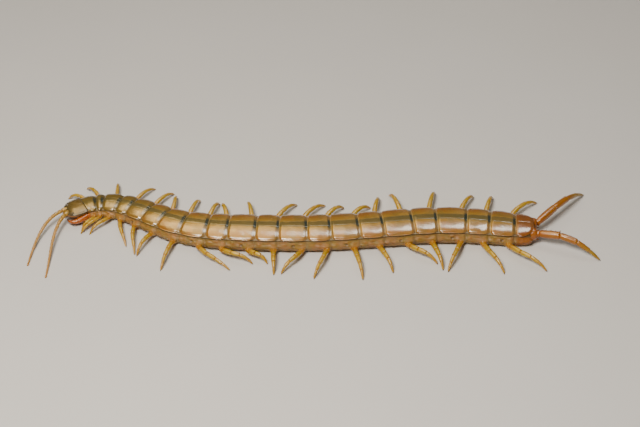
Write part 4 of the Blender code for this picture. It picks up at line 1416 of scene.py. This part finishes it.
def poison_claw(name, sign, material):
    """A poison claw: broad first article, two short ones, and the curved fang."""
    curve = head_curve(CLAW_CURVE, sign)
    places = np.linspace(0, 1, CLAW_SECTIONS)
    shape = Shape()
    start = 0.0
    for end, thick, thin in CLAW_ARTICLES:
        fang = end == CLAW_ARTICLES[-1][0]
        shares = start + (end - start) * places
        joint = bell(places, CLAW_START_RING)
        radii = thick + (thin - thick) * (places**FANG_TAPER if fang else places)
        radii = radii * (1 - CLAW_WAIST * joint)
        if not fang:
            radii = radii * (1 - CLAW_WAIST * bell(places - 1, CLAW_END_WAIST))
            joint = np.maximum(joint, bell(places - 1, CLAW_END_RING))
        rings = rings_along(along_curve(curve, shares), radii, CLAW_SIDES, CLAW_TALL)
        shape.add_tube(rings, along=shares[:, None], joint=joint[:, None])
        start = end
    shape.build(f"claw_{name}", material, [f"poison_claw_{name}"], fold=50)


def claw_plate(material):
    """The broad plate under the head that carries the poison claws, with its two toothed lobes."""
    f, half, low, high = evenly(spline(np.transpose(CLAW_PLATE), 8), CLAW_PLATE_SECTIONS).T
    y, z, middle = boxy_rings(half, low, high, CLAW_PLATE_SIDES, CLAW_PLATE_POWERS)
    groove = bell(y, CLAW_PLATE_GROOVE_WIDTH) * (z < middle)
    z = z + CLAW_PLATE_GROOVE_DEPTH * groove
    shape = Shape()
    points = on_head(np.broadcast_to(f[:, None], y.shape), y, z)
    shape.add_tube(points, along=0.2, joint=0.5 * groove)
    for _, sign in SIDES:
        for k in range(TOOTH_COUNT):
            ends = (TOOTH_ROOT + TOOTH_ROOT_STEP * k, TOOTH_TIP + TOOTH_TIP_STEP * k)
            shape.add_tube(spike(*head_curve(ends, sign), TOOTH_RADIUS), along=0.95)
    shape.build("claw_plate", material, fold=60)


def mouth_palps(material):
    """Two pairs of jointed mouth palps under the head."""
    shape = Shape()
    for _, sign in SIDES:
        for curve, articles, sides in PALPS:
            add_articles(shape, head_curve(curve, sign), articles, sides, straightened=0.3, tall=0.95)
    shape.build("mouth_palps", material, fold=50)


def eye(name, sign, material):
    """Four domed lenses at the head plate's front corner."""
    _, tail, left = frames(HEAD_LENGTH)
    ahead, aside, up = EYE_LEAN
    facing = unit(-tail * ahead + left * (aside * sign) + UP * up)
    along, over = square_to(facing)
    quarter = np.linspace(0, math.pi / 2, 9)
    height = OCELLUS_RADIUS * (OCELLUS_SUNK + OCELLUS_TALL * np.sin(quarter))
    radius = OCELLUS_RADIUS * np.cos(quarter * OCELLUS_CLOSED) ** OCELLUS_FULLNESS
    turn = np.linspace(0, math.tau, OCELLUS_SIDES, endpoint=False)[None, :, None]
    dome = facing * height[:, None, None]
    dome = dome + radius[:, None, None] * (along * np.cos(turn) + over * np.sin(turn))
    shape = Shape()
    f, y = EYE_PLACE
    heights = head_heights(f)
    for aside, ahead in OCELLUS_PLACES:
        z = head_dome(f + ahead, y + aside, heights)
        shape.add_tube(on_head(f + ahead, (y + aside) * sign, z) + dome)
    shape.build(f"ocelli_{name}", material, [f"eye_{name}"])


# Room

def point_at(thing, place, aim):
    """Place a camera or light in millimetres and turn it to its aim."""
    thing.location = place * MM
    thing.rotation_euler = Vector(aim - place).to_track_quat("-Z", "Y").to_euler()


def add_light(name, place, size, power, colour, only_gloss):
    """A soft rectangular light turned to the animal; one that is only gloss shows in its polish alone."""
    data = bpy.data.lights.new(name, "AREA")
    data.shape = "RECTANGLE"
    data.size, data.size_y = size[0] * MM, size[1] * MM
    data.energy = power
    data.color = colour
    light = linked(name, data)
    light.visible_diffuse = not only_gloss
    point_at(light, np.array(place, float), np.zeros(3))


def add_camera():
    """The camera at the photograph's angle."""
    data = bpy.data.cameras.new("camera")
    data.lens = CAMERA_LENS
    data.sensor_width = CAMERA_SENSOR
    data.clip_start = CAMERA_NEAREST * MM
    camera = linked("camera", data)
    away = swung(np.array((0.0, -1.0, 0.0)), UP, CAMERA_ELEVATION) * CAMERA_DISTANCE
    point_at(camera, CAMERA_AIM + away, CAMERA_AIM)
    bpy.context.scene.camera = camera


def add_floor():
    """A plain pale floor."""
    mesh = bpy.data.meshes.new("floor")
    corners = np.array(((-1, -1, 0), (1, -1, 0), (1, 1, 0), (-1, 1, 0))) * FLOOR_HALF * MM
    mesh.from_pydata(corners.tolist(), [], [(0, 1, 2, 3)])
    material, tree = new_material("floor_paper")
    shader = tree.nodes["Principled BSDF"]
    put(tree, shader.inputs["Base Color"], mixed(tree, spread(tree, 40), *FLOOR_COLOURS))
    shader.inputs["Roughness"].default_value = 0.85
    mesh.materials.append(material)
    linked("floor", mesh)


def add_world():
    """A dim, even surrounding light."""
    world = bpy.data.worlds.new("studio")
    world.use_nodes = True
    background = world.node_tree.nodes["Background"]
    background.inputs["Color"].default_value = (*SKY_COLOUR, 1.0)
    background.inputs["Strength"].default_value = SKY_STRENGTH
    bpy.context.scene.world = world


def main():
    """Build the dressed animal and its room."""
    add_camera()
    add_floor()
    add_world()
    for row in LIGHTS:
        add_light(*row)

    plates = plate_material()
    for number in range(1, LAST_SEGMENT + 1):
        back_plate(number, plates)
    skin(skin_material())
    belly = chitin_material("belly_chitin", (0.30, 0.22, 0.09), (0.42, 0.30, 0.12))
    for number in range(1, LAST_SEGMENT + 1):
        belly_plate(number, belly)

    ochre = limb_material("leg_chitin", LEG_COLOURS)
    orange = limb_material("last_leg_chitin", TAIL_LEG_COLOURS)
    feelers = limb_material("feeler_chitin", FEELER_COLOURS)
    red = poison_claw_material()
    black = eye_material()
    for name, sign in SIDES:
        for number in range(1, LAST_SEGMENT):
            walking_leg(name, number, sign, ochre)
    for name, sign in SIDES:
        tail_leg(name, sign, orange)
        tail_base(name, sign, orange)
        feeler(name, sign, feelers)
        poison_claw(name, sign, red)
        eye(name, sign, black)
    head_plate(head_material())
    brown = chitin_material("head_brown", (0.16, 0.075, 0.02), (0.34, 0.14, 0.03))
    head_body(brown)
    claw_plate(red)
    mouth_palps(brown)


main()
